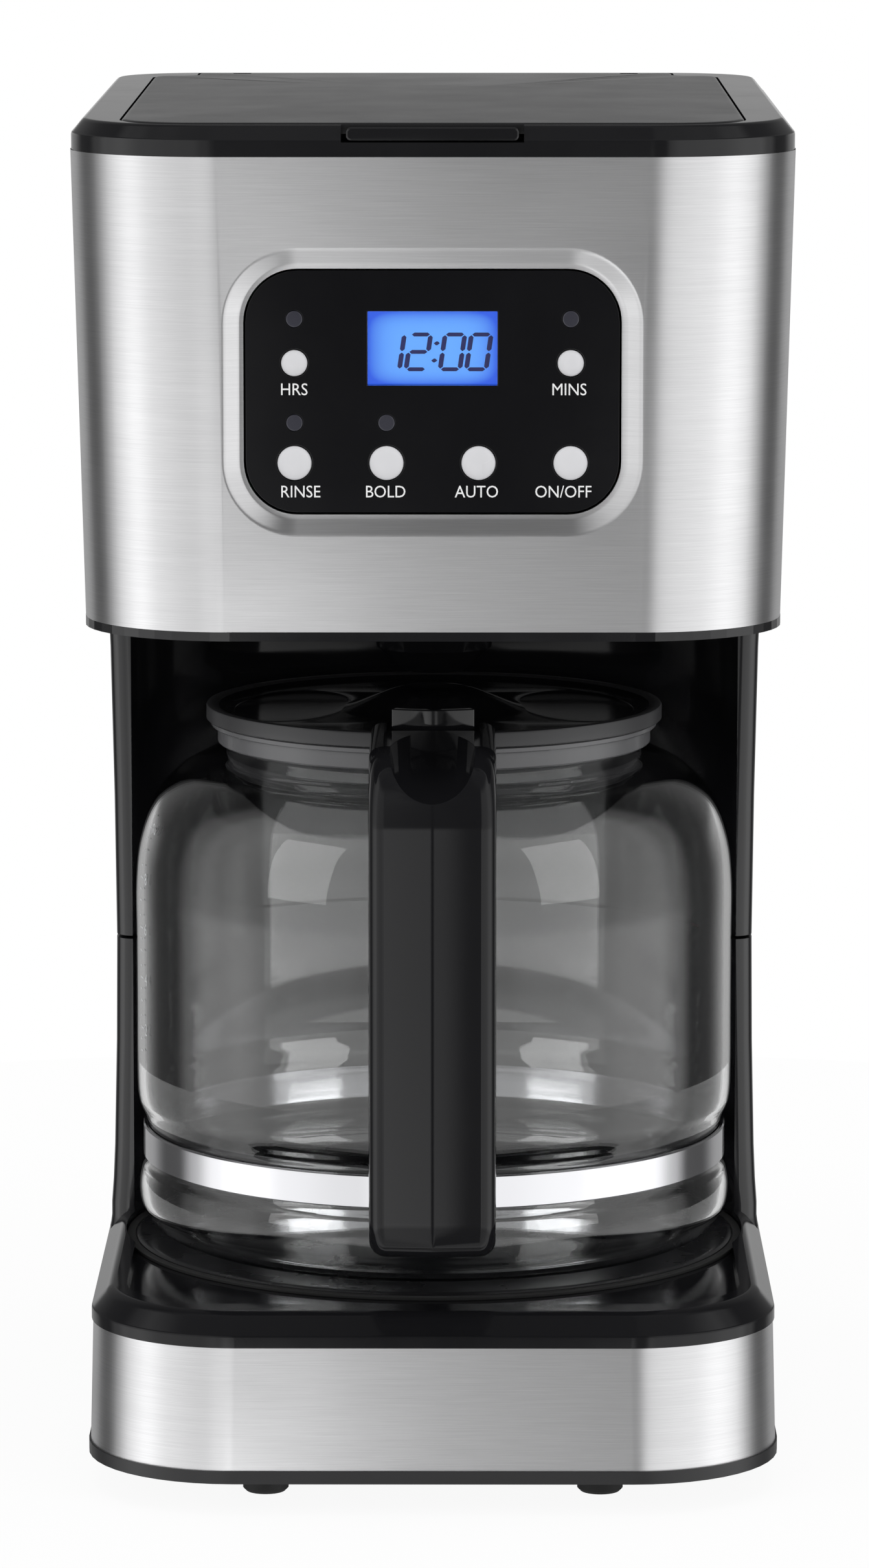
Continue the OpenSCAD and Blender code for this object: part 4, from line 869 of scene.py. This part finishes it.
def lid_outline(bm, grow, back, z, shoulder_gap=0.0):
    """The lid's outline grown by a distance, with its stepped shoulders and narrow tail."""
    step = 11.5 * MM
    half, tail = lid_half + grow, lid_half - step + grow
    front, shoulder = lid_front - grow, hinge.y - 11 * MM + grow + shoulder_gap
    corner, bend = 18 * MM + grow, step / 2 - 0.05 * MM
    right = [((half, front, z), corner), ((half, shoulder, z), bend + grow),
             ((tail, shoulder, z), bend - grow), ((tail, back, z), 2 * MM)]
    left = [((-x, y, z), radius) for (x, y, z), radius in reversed(right)]
    points = right + left
    return rounded_face(bm, [point for point, _ in points], [radius for _, radius in points], 12)


def lid_prism(grow, back, z0, z1, shoulder_gap=0.0):
    bm = bmesh.new()
    face = lid_outline(bm, grow, back, z0, shoulder_gap)
    top = lift(bm, face, z1 - z0)
    cap(bm)
    bmesh.ops.recalc_face_normals(bm, faces=bm.faces)
    return bm, top


def climb(bm, above):
    """Tips everything above a height, so that the top of the machine rises a little to the back."""
    for vert in bm.verts:
        if vert.co.z > above:
            vert.co.z += top_rise * (vert.co.y - front_y) / (rear_y - front_y)


def frame_shape():
    bm, top, _ = block(frame_high.x, front_y + 0.2 * MM, rear_y - 0.2 * MM, corner_radius - 0.2 * MM,
                       rear_radius - 0.2 * MM, frame_z, tab_z - 0.4 * MM, 22)
    for rise, inset in frame_steps:
        top = lift(bm, top, rise * MM, inset * MM)
    climb(bm, tab_z - 0.5 * MM)
    opening = lid_prism(lid_gap, hinge.y + lid_swing, frame_z - 0.01, frame_z + 0.03, 1.3 * MM)[0]
    notch = box_shape((-tab_half - 1.2 * MM, front_y - 1 * MM, tab_z - 0.4 * MM),
                      (tab_half + 1.2 * MM, front_y + 11 * MM, tab_z + 0.02))
    shape = combine(bm, opening, notch)
    for side in (-1, 1):
        x = side * lug_x
        merge_in(shape, rod(2.6 * MM, (x - 2 * MM, hinge.y, hinge.z), (x + 2 * MM, hinge.y, hinge.z)))
        merge_in(shape, box_shape((x - 2 * MM, hinge.y, hinge.z - 2.6 * MM),
                                  (x + 2 * MM, hinge.y + 8.4 * MM, hinge.z + 2.6 * MM)))
    return shape


piece(frame_shape(), "head_frame", "machine", "satin_black_plastic", "gloss_black", ("top_frame",),
      soft=0.35 * MM)


# %% Lid
def lid_shape():
    bm, top = lid_prism(0, lid_high.y, lid_low.z + 5.2 * MM, frame_high.z - 0.55 * MM)
    for rise, inset in ((0.35, 0.12), (0.25, 0.3), (0.12, 0.45), (0.03, 0.6)):
        top = lift(bm, top, rise * MM, inset * MM)
    centre, share = Matrix.Translation((0, -crown_y, 0)), 1.0
    for next_share in (0.985, 0.95, 0.9, 0.83, 0.75, 0.65, 0.54, 0.42, 0.3, 0.18):
        top = lift(bm, top, lid_pillow * (share ** 2 - next_share ** 2))
        bmesh.ops.scale(bm, vec=(next_share / share, next_share / share, 1), space=centre, verts=top.verts)
        share = next_share
    climb(bm, frame_high.z - 1 * MM)
    slots = [box_shape((side * lug_x - 2.4 * MM, hinge.y - 3.6 * MM, 0.3),
                       (side * lug_x + 2.4 * MM, 0.2, 0.4))
             for side in (-1, 1)]
    shape = combine(bm, *slots)
    merge_in(shape, rod(3.2 * MM, (-50 * MM, hinge.y, hinge.z), (50 * MM, hinge.y, hinge.z), 40))
    merge_in(shape, box_shape((-50 * MM, hinge.y - 3.1 * MM, hinge.z),
                              (50 * MM, hinge.y + 3.1 * MM, hinge.z + 2 * MM)))
    return shape


def tab_shape():
    """The pull tab: a round-ended bar with a crowned top that grows out of the lid's edge."""
    bm = bmesh.new()
    low, high = front_y - 0.25 * MM, lid_front + 3 * MM
    corners = [(x, low, z) for x, z in ((-tab_half, tab_z), (tab_half, tab_z), (tab_half, tab_z + tab_tall),
                                        (-tab_half, tab_z + tab_tall))]
    face = rounded_face(bm, corners, [1.1 * MM] * 4, 6)
    lift(bm, face, high - low, 0, Vector((0, 1, 0)))
    cap(bm)
    return bm


piece(lid_shape(), "top_lid_panel", "top_lid", "satin_black_plastic", "lid_satin", ("lid",), soft=0.25 * MM)
piece(tab_shape(), "pull_tab", "top_lid", "satin_black_plastic", "gloss_black", soft=0.5 * MM)

# %% [markdown]
# ## The control panel
#
# A glossy black plate sits at the bottom of the recess. Six keys of pearly silver stand in its
# holes, each a profile spun about its own axis, so that its cap is gently domed. The display is a
# stack as on the real board: a backlight, dark digits in front of it, and a clear window.

# %% Panel and keys
softened("control_panel", "panel", "machine", "black_plastic", "panel_black", soft=0.3 * MM)
softened("indicator_lights", "light_lenses", "machine", "light_red", "light_lens", soft=0.3 * MM)
panel_face = panel_low.y
key_bodies = {"button_hour": "key_hour", "button_minute": "key_minute", "button_rinse": "key_rinse",
              "button_bold": "key_bold", "button_auto": "key_auto", "button_power": "key_power"}
flange = 1.0 * MM
stem_radius = 1.6 * MM


def turned(profile, centre, along=Vector((0, 0, 1)), steps=96, angle=math.tau):
    """Spins a closed profile of (radius, distance along the axis) about an axis through a point."""
    centre = Vector(centre)
    bm = bmesh.new()
    verts = [bm.verts.new(centre + Vector((radius, 0, 0)) + along * reach) for radius, reach in profile]
    edges = [bm.edges.new(pair) for pair in zip(verts, verts[1:] + verts[:1])]
    bmesh.ops.spin(bm, geom=verts + edges, cent=centre, axis=along, angle=angle, steps=steps,
                   use_merge=angle == math.tau)
    bmesh.ops.remove_doubles(bm, verts=bm.verts, dist=0.000002)
    bmesh.ops.dissolve_degenerate(bm, edges=bm.edges, dist=0.000001)
    bmesh.ops.recalc_face_normals(bm, faces=bm.faces)
    return bm


def key_shape(low, high):
    radius = (high.x - low.x) / 2 - flange
    proud = panel_face - low.y
    back = proud + 3.3 * MM
    deep = high.y - low.y
    cap = [(0, 0), (0.3 * radius, 0.05 * MM), (0.5 * radius, 0.14 * MM), (0.68 * radius, 0.28 * MM),
           (0.82 * radius, 0.46 * MM), (0.92 * radius, 0.68 * MM), (0.98 * radius, 0.92 * MM),
           (radius, 1.15 * MM)]
    rest = [(radius, back), (radius + flange, back), (radius + flange, back + flange),
            (stem_radius, back + flange), (stem_radius, deep), (0, deep)]
    middle = ((low.x + high.x) / 2, low.y, (low.z + high.z) / 2)
    return turned(cap + rest, middle, Vector((0, 1, 0)), 48)


for node, body in key_bodies.items():
    piece(key_shape(*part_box(node)), node.replace("button", "cap"), body, "silver_key", "silver_key", (node,))

# %% [markdown]
# ## Printed words and the clock
#
# The words beside the keys are plain generic ones in a thin white ink. Type is made with a text
# curve, turned into a mesh and then stood upright just in front of the panel, so thin that it
# reads as print. The clock's digits are drawn as seven bars that lean a little, as on such a display.

# %% Printed words
ink_lift = 0.02 * MM
cap_height = 3.0 * MM
font_cap_share = 0.729


def lettering(text, height, stretch=1.0):
    """A word as a flat mesh that stands upright, faces the front and is centred on the origin."""
    type_curve = bpy.data.curves.new("type", "FONT")
    type_curve.body = text
    type_curve.align_x, type_curve.align_y = "CENTER", "CENTER"
    type_curve.size = height / font_cap_share
    type_curve.resolution_u = 3
    holder = bpy.data.objects.new("type", type_curve)
    scene.collection.objects.link(holder)
    graph = bpy.context.evaluated_depsgraph_get()
    bm = bmesh.new()
    bm.from_mesh(holder.evaluated_get(graph).to_mesh())
    bpy.data.objects.remove(holder, do_unlink=True)
    low = [min(vert.co[i] for vert in bm.verts) for i in (0, 1)]
    high = [max(vert.co[i] for vert in bm.verts) for i in (0, 1)]
    bmesh.ops.translate(bm, vec=(-(low[0] + high[0]) / 2, -(low[1] + high[1]) / 2, 0), verts=bm.verts)
    bmesh.ops.scale(bm, vec=(stretch, 1, 1), verts=bm.verts)
    bmesh.ops.rotate(bm, matrix=Matrix.Rotation(math.pi / 2, 3, "X"), verts=bm.verts)
    return bm


def printed(text, x, z, height, name, stretch):
    """A word in white ink, centred on a point of the panel."""
    bm = lettering(text, height, stretch)
    bmesh.ops.translate(bm, vec=(x, panel_face - ink_lift, z), verts=bm.verts)
    return piece(bm, name, "machine", "silver_key", "white_ink", recalculate=False, weighted=False)


def key_spot(node):
    low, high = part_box(node)
    return (low.x + high.x) / 2, (low.z + high.z) / 2


# Each key's word, how far it stands to the right of its key and how far below.
words = (("button_hour", "HRS", 0, 6.3), ("button_minute", "MINS", -0.3, 6.3),
         ("button_rinse", "RINSE", 1.5, 6.9),
         ("button_bold", "BOLD", -0.2, 6.9), ("button_auto", "AUTO", -0.5, 6.9),
         ("button_power", "ON/OFF", -1.7, 6.9))
for node, word, aside, below in words:
    spot = key_spot(node)
    printed(word, spot[0] + aside * MM, spot[1] - below * MM, cap_height,
            "word_" + word.lower().replace("/", "_"),
            stretch=0.92)

# %% Display
window_low, window_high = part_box("lcd_window")
glass_front = window_low.y
module_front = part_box("lcd_module")[0].y
window_middle = Vector(((window_low.x + window_high.x) / 2, 0, (window_low.z + window_high.z) / 2))
window_half = (window_high.x - window_low.x) / 2
window_tall = (window_high.z - window_low.z) / 2
digit_high = 9.3 * MM
digit_wide = 4.3 * MM
bar_thick = 1.05 * MM
lean = 0.12
# Which of the seven bars are lit: top, upper left, upper right, middle, lower left, lower right, bottom.
lit_bars = {"0": "1110111", "1": "0010010", "2": "1011101"}


def bar(bm, x, z, length, upright):
    """One bar of a digit: a thin six-sided face with pointed ends."""
    half, point = length / 2, bar_thick / 2
    outline = [(-half, 0), (-half + point, -point), (half - point, -point), (half, 0),
               (half - point, point), (-half + point, point)]
    corners = [((a, b), (-b, a))[upright] for a, b in outline]
    bm.faces.new([bm.verts.new((x + a, 0, z + b)) for a, b in corners])


def clock_face():
    bm = bmesh.new()
    half, quarter, length = digit_high / 2, digit_high / 4, digit_wide - 0.35 * MM
    side, tall = digit_wide / 2, digit_high / 2 - 0.35 * MM
    bars = ((0, half, length, 0), (-side, quarter, tall, 1), (side, quarter, tall, 1), (0, 0, length, 0),
            (-side, -quarter, tall, 1), (side, -quarter, tall, 1), (0, -half, length, 0))
    spots = (-9.2 * MM, -3.45 * MM, 4.0 * MM, 9.75 * MM)
    for spot, digit in zip(spots, "1200"):
        for state, (x, z, size, upright) in zip(lit_bars[digit], bars):
            if state == "1":
                bar(bm, spot + x, z, size, upright)
    for z in (-2.3 * MM, 2.3 * MM):
        bar(bm, 0.3 * MM, z, bar_thick * 1.3, 0)
    for vert in bm.verts:
        vert.co.x += vert.co.z * lean
    bmesh.ops.scale(bm, vec=(1.1, 1, 0.9), verts=bm.verts)
    bmesh.ops.translate(bm, vec=window_middle + Vector((0.4 * MM, module_front - 0.55 * MM, -0.9 * MM)),
                        verts=bm.verts)
    bmesh.ops.recalc_face_normals(bm, faces=bm.faces)
    return bm


finishes["display_glow"] = lit_display(window_middle, window_half, window_tall)
piece(box_shape((window_low.x + 0.2 * MM, module_front - 0.4 * MM, window_low.z + 0.2 * MM),
                (window_high.x - 0.2 * MM, module_front, window_high.z - 0.2 * MM)),
      "backlight", "machine", "display_blue", "display_glow", soft=0.1 * MM)
piece(clock_face(), "clock_digits", "machine", "display_blue", "digit_ink", weighted=False)
piece(box_shape((window_low.x, glass_front, window_low.z), (window_high.x, module_front - 0.7 * MM,
                                                            window_high.z)),
      "display_window", "machine", "clear_window", "clear_window", ("lcd_window",), soft=0.25 * MM)

# %% [markdown]
# ## The carafe
#
# A carafe is blown glass, so its wall is one smooth curve from foot to neck. The curve is drawn
# through a few points with Bezier spans, doubled inwards by the wall's thickness and spun about the
# carafe's axis. A chrome band sits in the waist near the foot and holds the handle's lower end.

# %% Glass
neck_radius = 53.4 * MM
glass_low, glass_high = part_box("carafe_glass")
glass_z, neck_z = glass_low.z, glass_high.z
chrome_low, chrome_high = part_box("carafe_band")
waist_radius = 74.2 * MM
glass_wall = 2.0 * MM


def flowing(points, steps=5):
    """A smooth line through points: each span is a Bezier whose handles follow its neighbours."""
    knots = [Vector((x, 0, z)) for x, z in points]
    lines = []
    for i, (start, end) in enumerate(zip(knots, knots[1:])):
        span = (end - start).length / 3
        before = knots[max(i - 1, 0)]
        after = knots[min(i + 2, len(knots) - 1)]
        leave = start + (end - before).normalized() * span
        arrive = end - (after - start).normalized() * span
        lines += interpolate_bezier(start, leave, arrive, end, steps + 1)[:-1]
    lines.append(knots[-1])
    return [(point.x, point.z) for point in lines]


def inner_line(line, thickness):
    """The same line moved inwards by the wall's thickness."""
    moved = []
    for i, (x, z) in enumerate(line):
        before, after = Vector(line[max(i - 1, 0)]), Vector(line[min(i + 1, len(line) - 1)])
        along = (after - before).normalized()
        moved.append((max(x - along.y * thickness, 0), z + along.x * thickness))
    moved[0] = (0, line[0][1] + thickness)
    return moved


outside_points = [(0, 2.6), (20, 2.4), (42, 1.6), (56, 0.5), (65, 0.0), (71.4, 2.0), (75.4, 7.0), (76.3, 12),
                  (75.6, 17), (74.3, 19.6), (74.2, 23), (74.2, 29), (75.0, 31.6), (76.4, 35.5), (76.8, 43),
                  (76.8, 60), (76.8, 78), (76.8, 92), (75.6, 103), (72.0, 113.2), (65.6, 120.6),
                  (59.6, 124.0),
                  (55.8, 125.6), (53.8, 127.0), (53.4, 128.2)]
outside = flowing([(r * MM, glass_z + z * MM) for r, z in outside_points])
outside.append((neck_radius, neck_z - 0.3 * MM))
inside = inner_line(outside, glass_wall)
inside[-1] = (neck_radius - glass_wall + 0.3 * MM, neck_z)
lip = [(neck_radius - 0.5 * MM, neck_z)]
piece(turned([*outside, *lip, *reversed(inside)], (0, axis_y, 0), steps=144), "glass_body", "carafe",
      "clear_glass", "carafe_glass", ("carafe_glass",), weighted=False, crease=60)

# %% Printed scale
scale_bearing = -math.radians(73)
scale_marks = (("2", 56), ("4", 69), ("6", 82), ("8", 95), ("10", 108))


def on_glass(bm, height, bearing):
    """Moves a flat mark from the origin to the outside of the glass at a height and a bearing."""
    z = glass_z + height * MM
    radius = min(outside, key=lambda point: abs(point[1] - z) if point[0] > neck_radius * 1.2 else 1)[0]
    bmesh.ops.translate(bm, vec=(0, -radius - 0.1 * MM, z), verts=bm.verts)
    bmesh.ops.rotate(bm, matrix=Matrix.Rotation(bearing, 3, "Z"), verts=bm.verts)
    bmesh.ops.translate(bm, vec=(0, axis_y, 0), verts=bm.verts)
    return bm


def cup_scale():
    bm = bmesh.new()
    for number, height in scale_marks:
        merge_in(bm, on_glass(lettering(number, 3.2 * MM), height, scale_bearing))
        for rise, wide in ((-6, 2.4), (-3, 1.6), (0, 3.2), (3, 1.6)):
            tick = bmesh.new()
            bmesh.ops.create_grid(tick, x_segments=1, y_segments=1, size=0.5)
            bmesh.ops.scale(tick, vec=(wide * MM, 0.45 * MM, 1), verts=tick.verts)
            bmesh.ops.rotate(tick, matrix=Matrix.Rotation(math.pi / 2, 3, "X"), verts=tick.verts)
            merge_in(bm, on_glass(tick, height + rise, scale_bearing - math.radians(4.6 - wide / 2)))
    return bm


piece(cup_scale(), "cup_scale", "carafe", "clear_glass", "silver_ink", recalculate=False, weighted=False)

# %% Chrome band and collar
band_inner = waist_radius + 0.2 * MM
band_outer = waist_radius + 1.1 * MM
band_line = [(band_inner, chrome_low.z), (band_outer - 0.35 * MM, chrome_low.z),
             (band_outer, chrome_low.z + 0.35 * MM),
             (band_outer, chrome_high.z - 0.35 * MM), (band_outer - 0.35 * MM, chrome_high.z),
             (band_inner, chrome_high.z)]
piece(turned(band_line, (0, axis_y, 0), steps=144), "waist_band", "carafe", "chrome", "chrome",
      ("carafe_band",),
      weighted=False)

collar_low, collar_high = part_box("carafe_collar")
cover_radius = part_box("carafe_lid")[1].x
collar_outer = neck_radius + 2.2 * MM
rim_z = collar_high.z - 1.4 * MM
collar_line = [(neck_radius + 0.1 * MM, collar_low.z), (collar_outer - 0.4 * MM, collar_low.z),
               (collar_outer, collar_low.z + 0.4 * MM), (collar_outer, rim_z),
               (cover_radius - 1.6 * MM, rim_z), (cover_radius - 1.3 * MM, rim_z + 0.3 * MM),
               (cover_radius - 1.3 * MM, collar_high.z - 0.2 * MM), (cover_radius - 1.6 * MM, collar_high.z),
               (neck_radius - 2.2 * MM, collar_high.z), (neck_radius - 2.4 * MM, collar_high.z - 0.2 * MM),
               (neck_radius - 2.4 * MM, neck_z + 0.1 * MM), (neck_radius + 0.1 * MM, neck_z + 0.1 * MM)]
# The collar's light grey finish is painted highlight in place of the shine of a glass neck ring.
piece(turned(collar_line, (0, axis_y, 0), steps=128), "neck_collar", "carafe", "satin_black_plastic",
      "neck_painted_highlight",
      ("carafe_collar",), weighted=False)

# %% [markdown]
# ## The carafe's lid, lever and handle
#
# The lid is a disc with an upright rim, a broad hub that rises to the drip opening, and a shallow
# dish on each side. The handle is one glossy loop: its side outline is lifted out to both sides with
# soft edges, its front is then crowned, and the thumb scoop and the seats of the lid, lever and
# band are cut away. A bowed lever with a small rib opens the lid.

# %% Carafe lid
cover_low, cover_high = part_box("carafe_lid")
seat_z = 183.6 * MM
cover_top = 187.6 * MM
hub_z = cover_high.z


def cover_shape():
    """The lid inside its rim: a hub with the drip opening, and a shallow dish on each side of it."""
    edge = cover_radius - rim_wide
    hub = flowing([(25 * MM, cover_top - 1.8 * MM), (21 * MM, cover_top - 0.8 * MM),
                   (15.5 * MM, hub_z - 2.4 * MM),
                   (11 * MM, hub_z - 0.7 * MM), (8.2 * MM, hub_z)], 4)
    outer = [(edge, seat_z), (edge, cover_top - 0.5 * MM), (edge - 1.5 * MM, cover_top - 1.4 * MM),
             (edge - 3.5 * MM, cover_top - 1.8 * MM)]
    bore = [(6 * MM, hub_z), (4 * MM, hub_z - 3 * MM), (4 * MM, seat_z - 6 * MM), (5.6 * MM, seat_z - 6 * MM),
            (5.6 * MM, hub_z - 3 * MM), (7 * MM, hub_z - 3 * MM), (20 * MM, seat_z),
            (neck_radius - 6 * MM, seat_z),
            (neck_radius - 6 * MM, seat_z - 9 * MM), (neck_radius - 4 * MM, seat_z - 9 * MM),
            (neck_radius - 4 * MM, seat_z)]
    bm = turned(outer + hub + bore, (0, axis_y, 0), steps=128)
    dishes = [dish((side * 36.5 * MM, axis_y + 4 * MM, cover_top - 1.8 * MM),
                   (14.5 * MM, 30 * MM, 1.5 * MM), side * 8)
              for side in (-1, 1)]
    return combine(bm, *dishes)


def dish(centre, radii, tilt):
    """An ellipsoid that cuts a shallow dish, turned about the upright axis by a tilt in degrees."""
    bm = bmesh.new()
    bmesh.ops.create_uvsphere(bm, u_segments=64, v_segments=32, radius=1)
    bmesh.ops.scale(bm, vec=radii, verts=bm.verts)
    bmesh.ops.rotate(bm, matrix=Matrix.Rotation(math.radians(tilt), 3, "Z"), verts=bm.verts)
    bmesh.ops.translate(bm, vec=centre, verts=bm.verts)
    return bm


rim_wide = 3.2 * MM
rim_line = [(cover_radius - 0.3 * MM, seat_z), (cover_radius, seat_z + 0.3 * MM),
            (cover_radius, cover_top - 0.6 * MM),
            (cover_radius - 0.2 * MM, cover_top - 0.15 * MM), (cover_radius - 0.7 * MM, cover_top),
            (cover_radius - 2.0 * MM, cover_top), (cover_radius - rim_wide, cover_top - 0.5 * MM),
            (cover_radius - rim_wide, seat_z)]
piece(cover_shape(), "carafe_cover_disc", "carafe_cover", "black_plastic", "gloss_black", ("carafe_lid",),
      weighted=False)
piece(turned(rim_line, (0, axis_y, 0), steps=128), "carafe_cover_rim", "carafe_cover", "black_plastic",
      "rim_satin",
      weighted=False)

# %% Lever
lever_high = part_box("thumb_lever")[1]
pivot = Vector([joint for joint in frame["joints"] if joint["name"] == "carafe_lid_hinge"][0]["pos_m"])
bow_y = axis_y - cover_radius + 13 * MM
bow_radius = 24 * MM
lever_thick = 2.8 * MM
lever_half = 11 * MM


def lever_shape():
    low, high = pivot.z - 2.6 * MM, lever_high.z
    line = [(bow_radius - lever_thick, low), (bow_radius, low), (bow_radius, high),
            (bow_radius - lever_thick, high)]
    sweep = 2 * math.asin(0.94 * lever_half / bow_radius)
    bow = turned(line, (0, bow_y, 0), steps=36, angle=sweep)
    bmesh.ops.holes_fill(bow, edges=[edge for edge in bow.edges if edge.is_boundary])
    turn = Matrix.Rotation(-math.pi / 2 - sweep / 2, 3, "Z")
    bmesh.ops.rotate(bow, cent=(0, bow_y, 0), matrix=turn, verts=bow.verts)
    bmesh.ops.recalc_face_normals(bow, faces=bow.faces)
    merge_in(bow, rod(2.6 * MM, (-lever_half, pivot.y, pivot.z), (lever_half, pivot.y, pivot.z)))
    tongue = box_shape((-lever_half + 1 * MM, pivot.y, pivot.z - 1.4 * MM),
                       (lever_half - 1 * MM, pivot.y + 13 * MM, pivot.z + 1.2 * MM))
    merge_in(bow, combine(tongue, cylinder_tool(cover_radius + 0.02 * MM, 0.1, 0.3)))
    rib_front = bow_y - bow_radius
    merge_in(bow, box_shape((-0.8 * MM, rib_front - 0.2 * MM, low + 0.6 * MM),
                            (0.8 * MM, rib_front + 1.5 * MM, low + 5.2 * MM)))
    return bow


piece(lever_shape(), "lid_lever", "carafe_cover", "black_plastic", "gloss_black", ("thumb_lever",),
      soft=0.35 * MM)

# %% Handle
grip_low_box, grip_high_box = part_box("carafe_handle")
reach = 118 * MM
grip_depth = 18 * MM
grip_half = 15.5 * MM
grip_top = grip_high_box.z
grip_low = grip_low_box.z
arm_low = neck_z - 0.6 * MM
flank_half = 11.5 * MM
flank_slope = 0.034
crown = 2.6 * MM
# Half width and inset of the handle's side as it is lifted outwards: the last steps round its edges.
side_steps = ((0.35, 0), (0.8, 0), (1.5, 0), (3, 0), (6, 0), (9, 0), (11.5, 0), (12.8, 0.12), (13.7, 0.4),
              (14.4, 0.8),
              (14.95, 1.35), (15.3, 1.95), (15.5, 2.7))


def side_outline(bm):
    """The handle seen from the side, from neck to band, as one face on the middle plane."""
    top_end, low_end, band_top = 42 * MM, 64 * MM, chrome_high.z - 0.4 * MM
    inner = reach - grip_depth
    corners = ((top_end, grip_top, 0), (reach, grip_top, 18), (reach, grip_low, 10.5), (low_end, grip_low, 0),
               (low_end, band_top, 0), (inner, band_top, 6), (inner, arm_low, 8), (top_end, arm_low, 0))
    return rounded_face(bm, [(0, axis_y - f, z) for f, z, _ in corners], [r * MM for _, _, r in corners], 10)


def crown_front(bm):
    """Shapes the front of the grip: two flat flanks that fall away from a soft ridge, then round off."""
    heart_f, ridge = reach - 18 * MM, 0.5 * MM
    for vert in bm.verts:
        f, z = axis_y - vert.co.y, vert.co.z
        heart_z = min(max(z, grip_low + 10.5 * MM), grip_top - 18 * MM)
        out = Vector((0, -(f - heart_f), z - heart_z))
        share = min(max((out.length - 6 * MM) / (10 * MM), 0), 1) if f > heart_f else 0
        fall = flank_slope * (math.hypot(vert.co.x, ridge) - ridge)
        turn = max(abs(vert.co.x) - flank_half, 0) / (grip_half - flank_half)
        sink = (fall + crown * (1 - math.sqrt(max(1 - (0.98 * turn) ** 2, 0)))) * share
        if share > 0:
            vert.co -= out.normalized() * sink


def half_handle(side):
    bm = bmesh.new()
    face = side_outline(bm)
    at, drawn = 0.0, 0.0
    for out, inset in side_steps:
        face = lift(bm, face, (out - at) * MM, (inset - drawn) * MM, Vector((side, 0, 0)))
        at, drawn = out, inset
    return bm


def handle_shape():
    whole = half_handle(1)
    merge_in(whole, half_handle(-1))
    inner = [face for face in whole.faces if all(abs(vert.co.x) < 1e-7 for vert in face.verts)]
    bmesh.ops.delete(whole, geom=inner, context="FACES_ONLY")
    bmesh.ops.remove_doubles(whole, verts=whole.verts, dist=0.000002)
    crown_front(whole)
    bmesh.ops.recalc_face_normals(whole, faces=whole.faces)
    scoop_start = Vector((0, axis_y - 70 * MM, grip_top + 13.3 * MM))
    scoop_way = Vector((0, -math.cos(math.radians(16)), -math.sin(math.radians(16))))
    tools = [
        cylinder_tool(collar_outer + 0.05 * MM, 0.1, 0.3, 128),
        cylinder_tool(waist_radius + 1.15 * MM, 0, chrome_high.z + 5.6 * MM),
        cylinder_tool(waist_radius + 3.0 * MM, 0, chrome_low.z - 0.4 * MM),
        cylinder_tool(cover_radius + 1 * MM, rim_z - 0.1 * MM, 0.3, 128),
        box_shape((-lever_half - 0.4 * MM, axis_y - cover_radius - 15 * MM, rim_z - 0.1 * MM),
                  (lever_half + 0.4 * MM, axis_y - cover_radius + 1 * MM, 0.3)),
        rod(11.2 * MM, scoop_start, scoop_start + scoop_way * 80 * MM, 64),
    ]
    return combine(whole, *tools)


piece(handle_shape(), "handle", "carafe", "black_plastic", "handle_black", ("carafe_handle",),
      soft=0.35 * MM, crease=35)

# %% [markdown]
# ## The pieces inside
#
# Everything else keeps its solid from the frame, because its shape is already right: the water
# tank, the heater, the boards, the brew basket with its filter and valve. Each only needs the finish
# of what it is made of. They show when the lid is open or the carafe is out.

# %% Finishes of the pieces inside
inner_finishes = {
    "rubber": ("rubber_feet", "cord_gland", "tank_grommet"),
    "satin_black": ("lcd_module", "tact_switches", "thermostat", "shower_arm", "shower_head", "drip_valve"),
    "gloss_black": ("head_tray", "basket_well", "brew_basket"),
    "steel": ("housing_screws", "hinge_pins", "valve_spring", "handle_screw", "carafe_hinge_pin",
              "thermal_fuses"),
    "aluminium": ("heater_tube",),
    "circuit_green": ("power_board", "control_board"),
    "red_wire": ("wire_harness",),
    "orange_seal": ("valve_seal",),
    "milky_hose": ("inlet_hose", "outlet_hose"),
    "milky_plastic": ("check_valve", "riser_tube"),
    "smoke_plastic": ("water_tank",),
    "gold_mesh": ("permanent_filter",),
}
for finish, nodes in inner_finishes.items():
    for node in nodes:
        solid = frame["nodes"][node]
        for slot in solid.material_slots:
            slot.material = finishes[finish]
    print(finish, "on", len(nodes), "pieces")
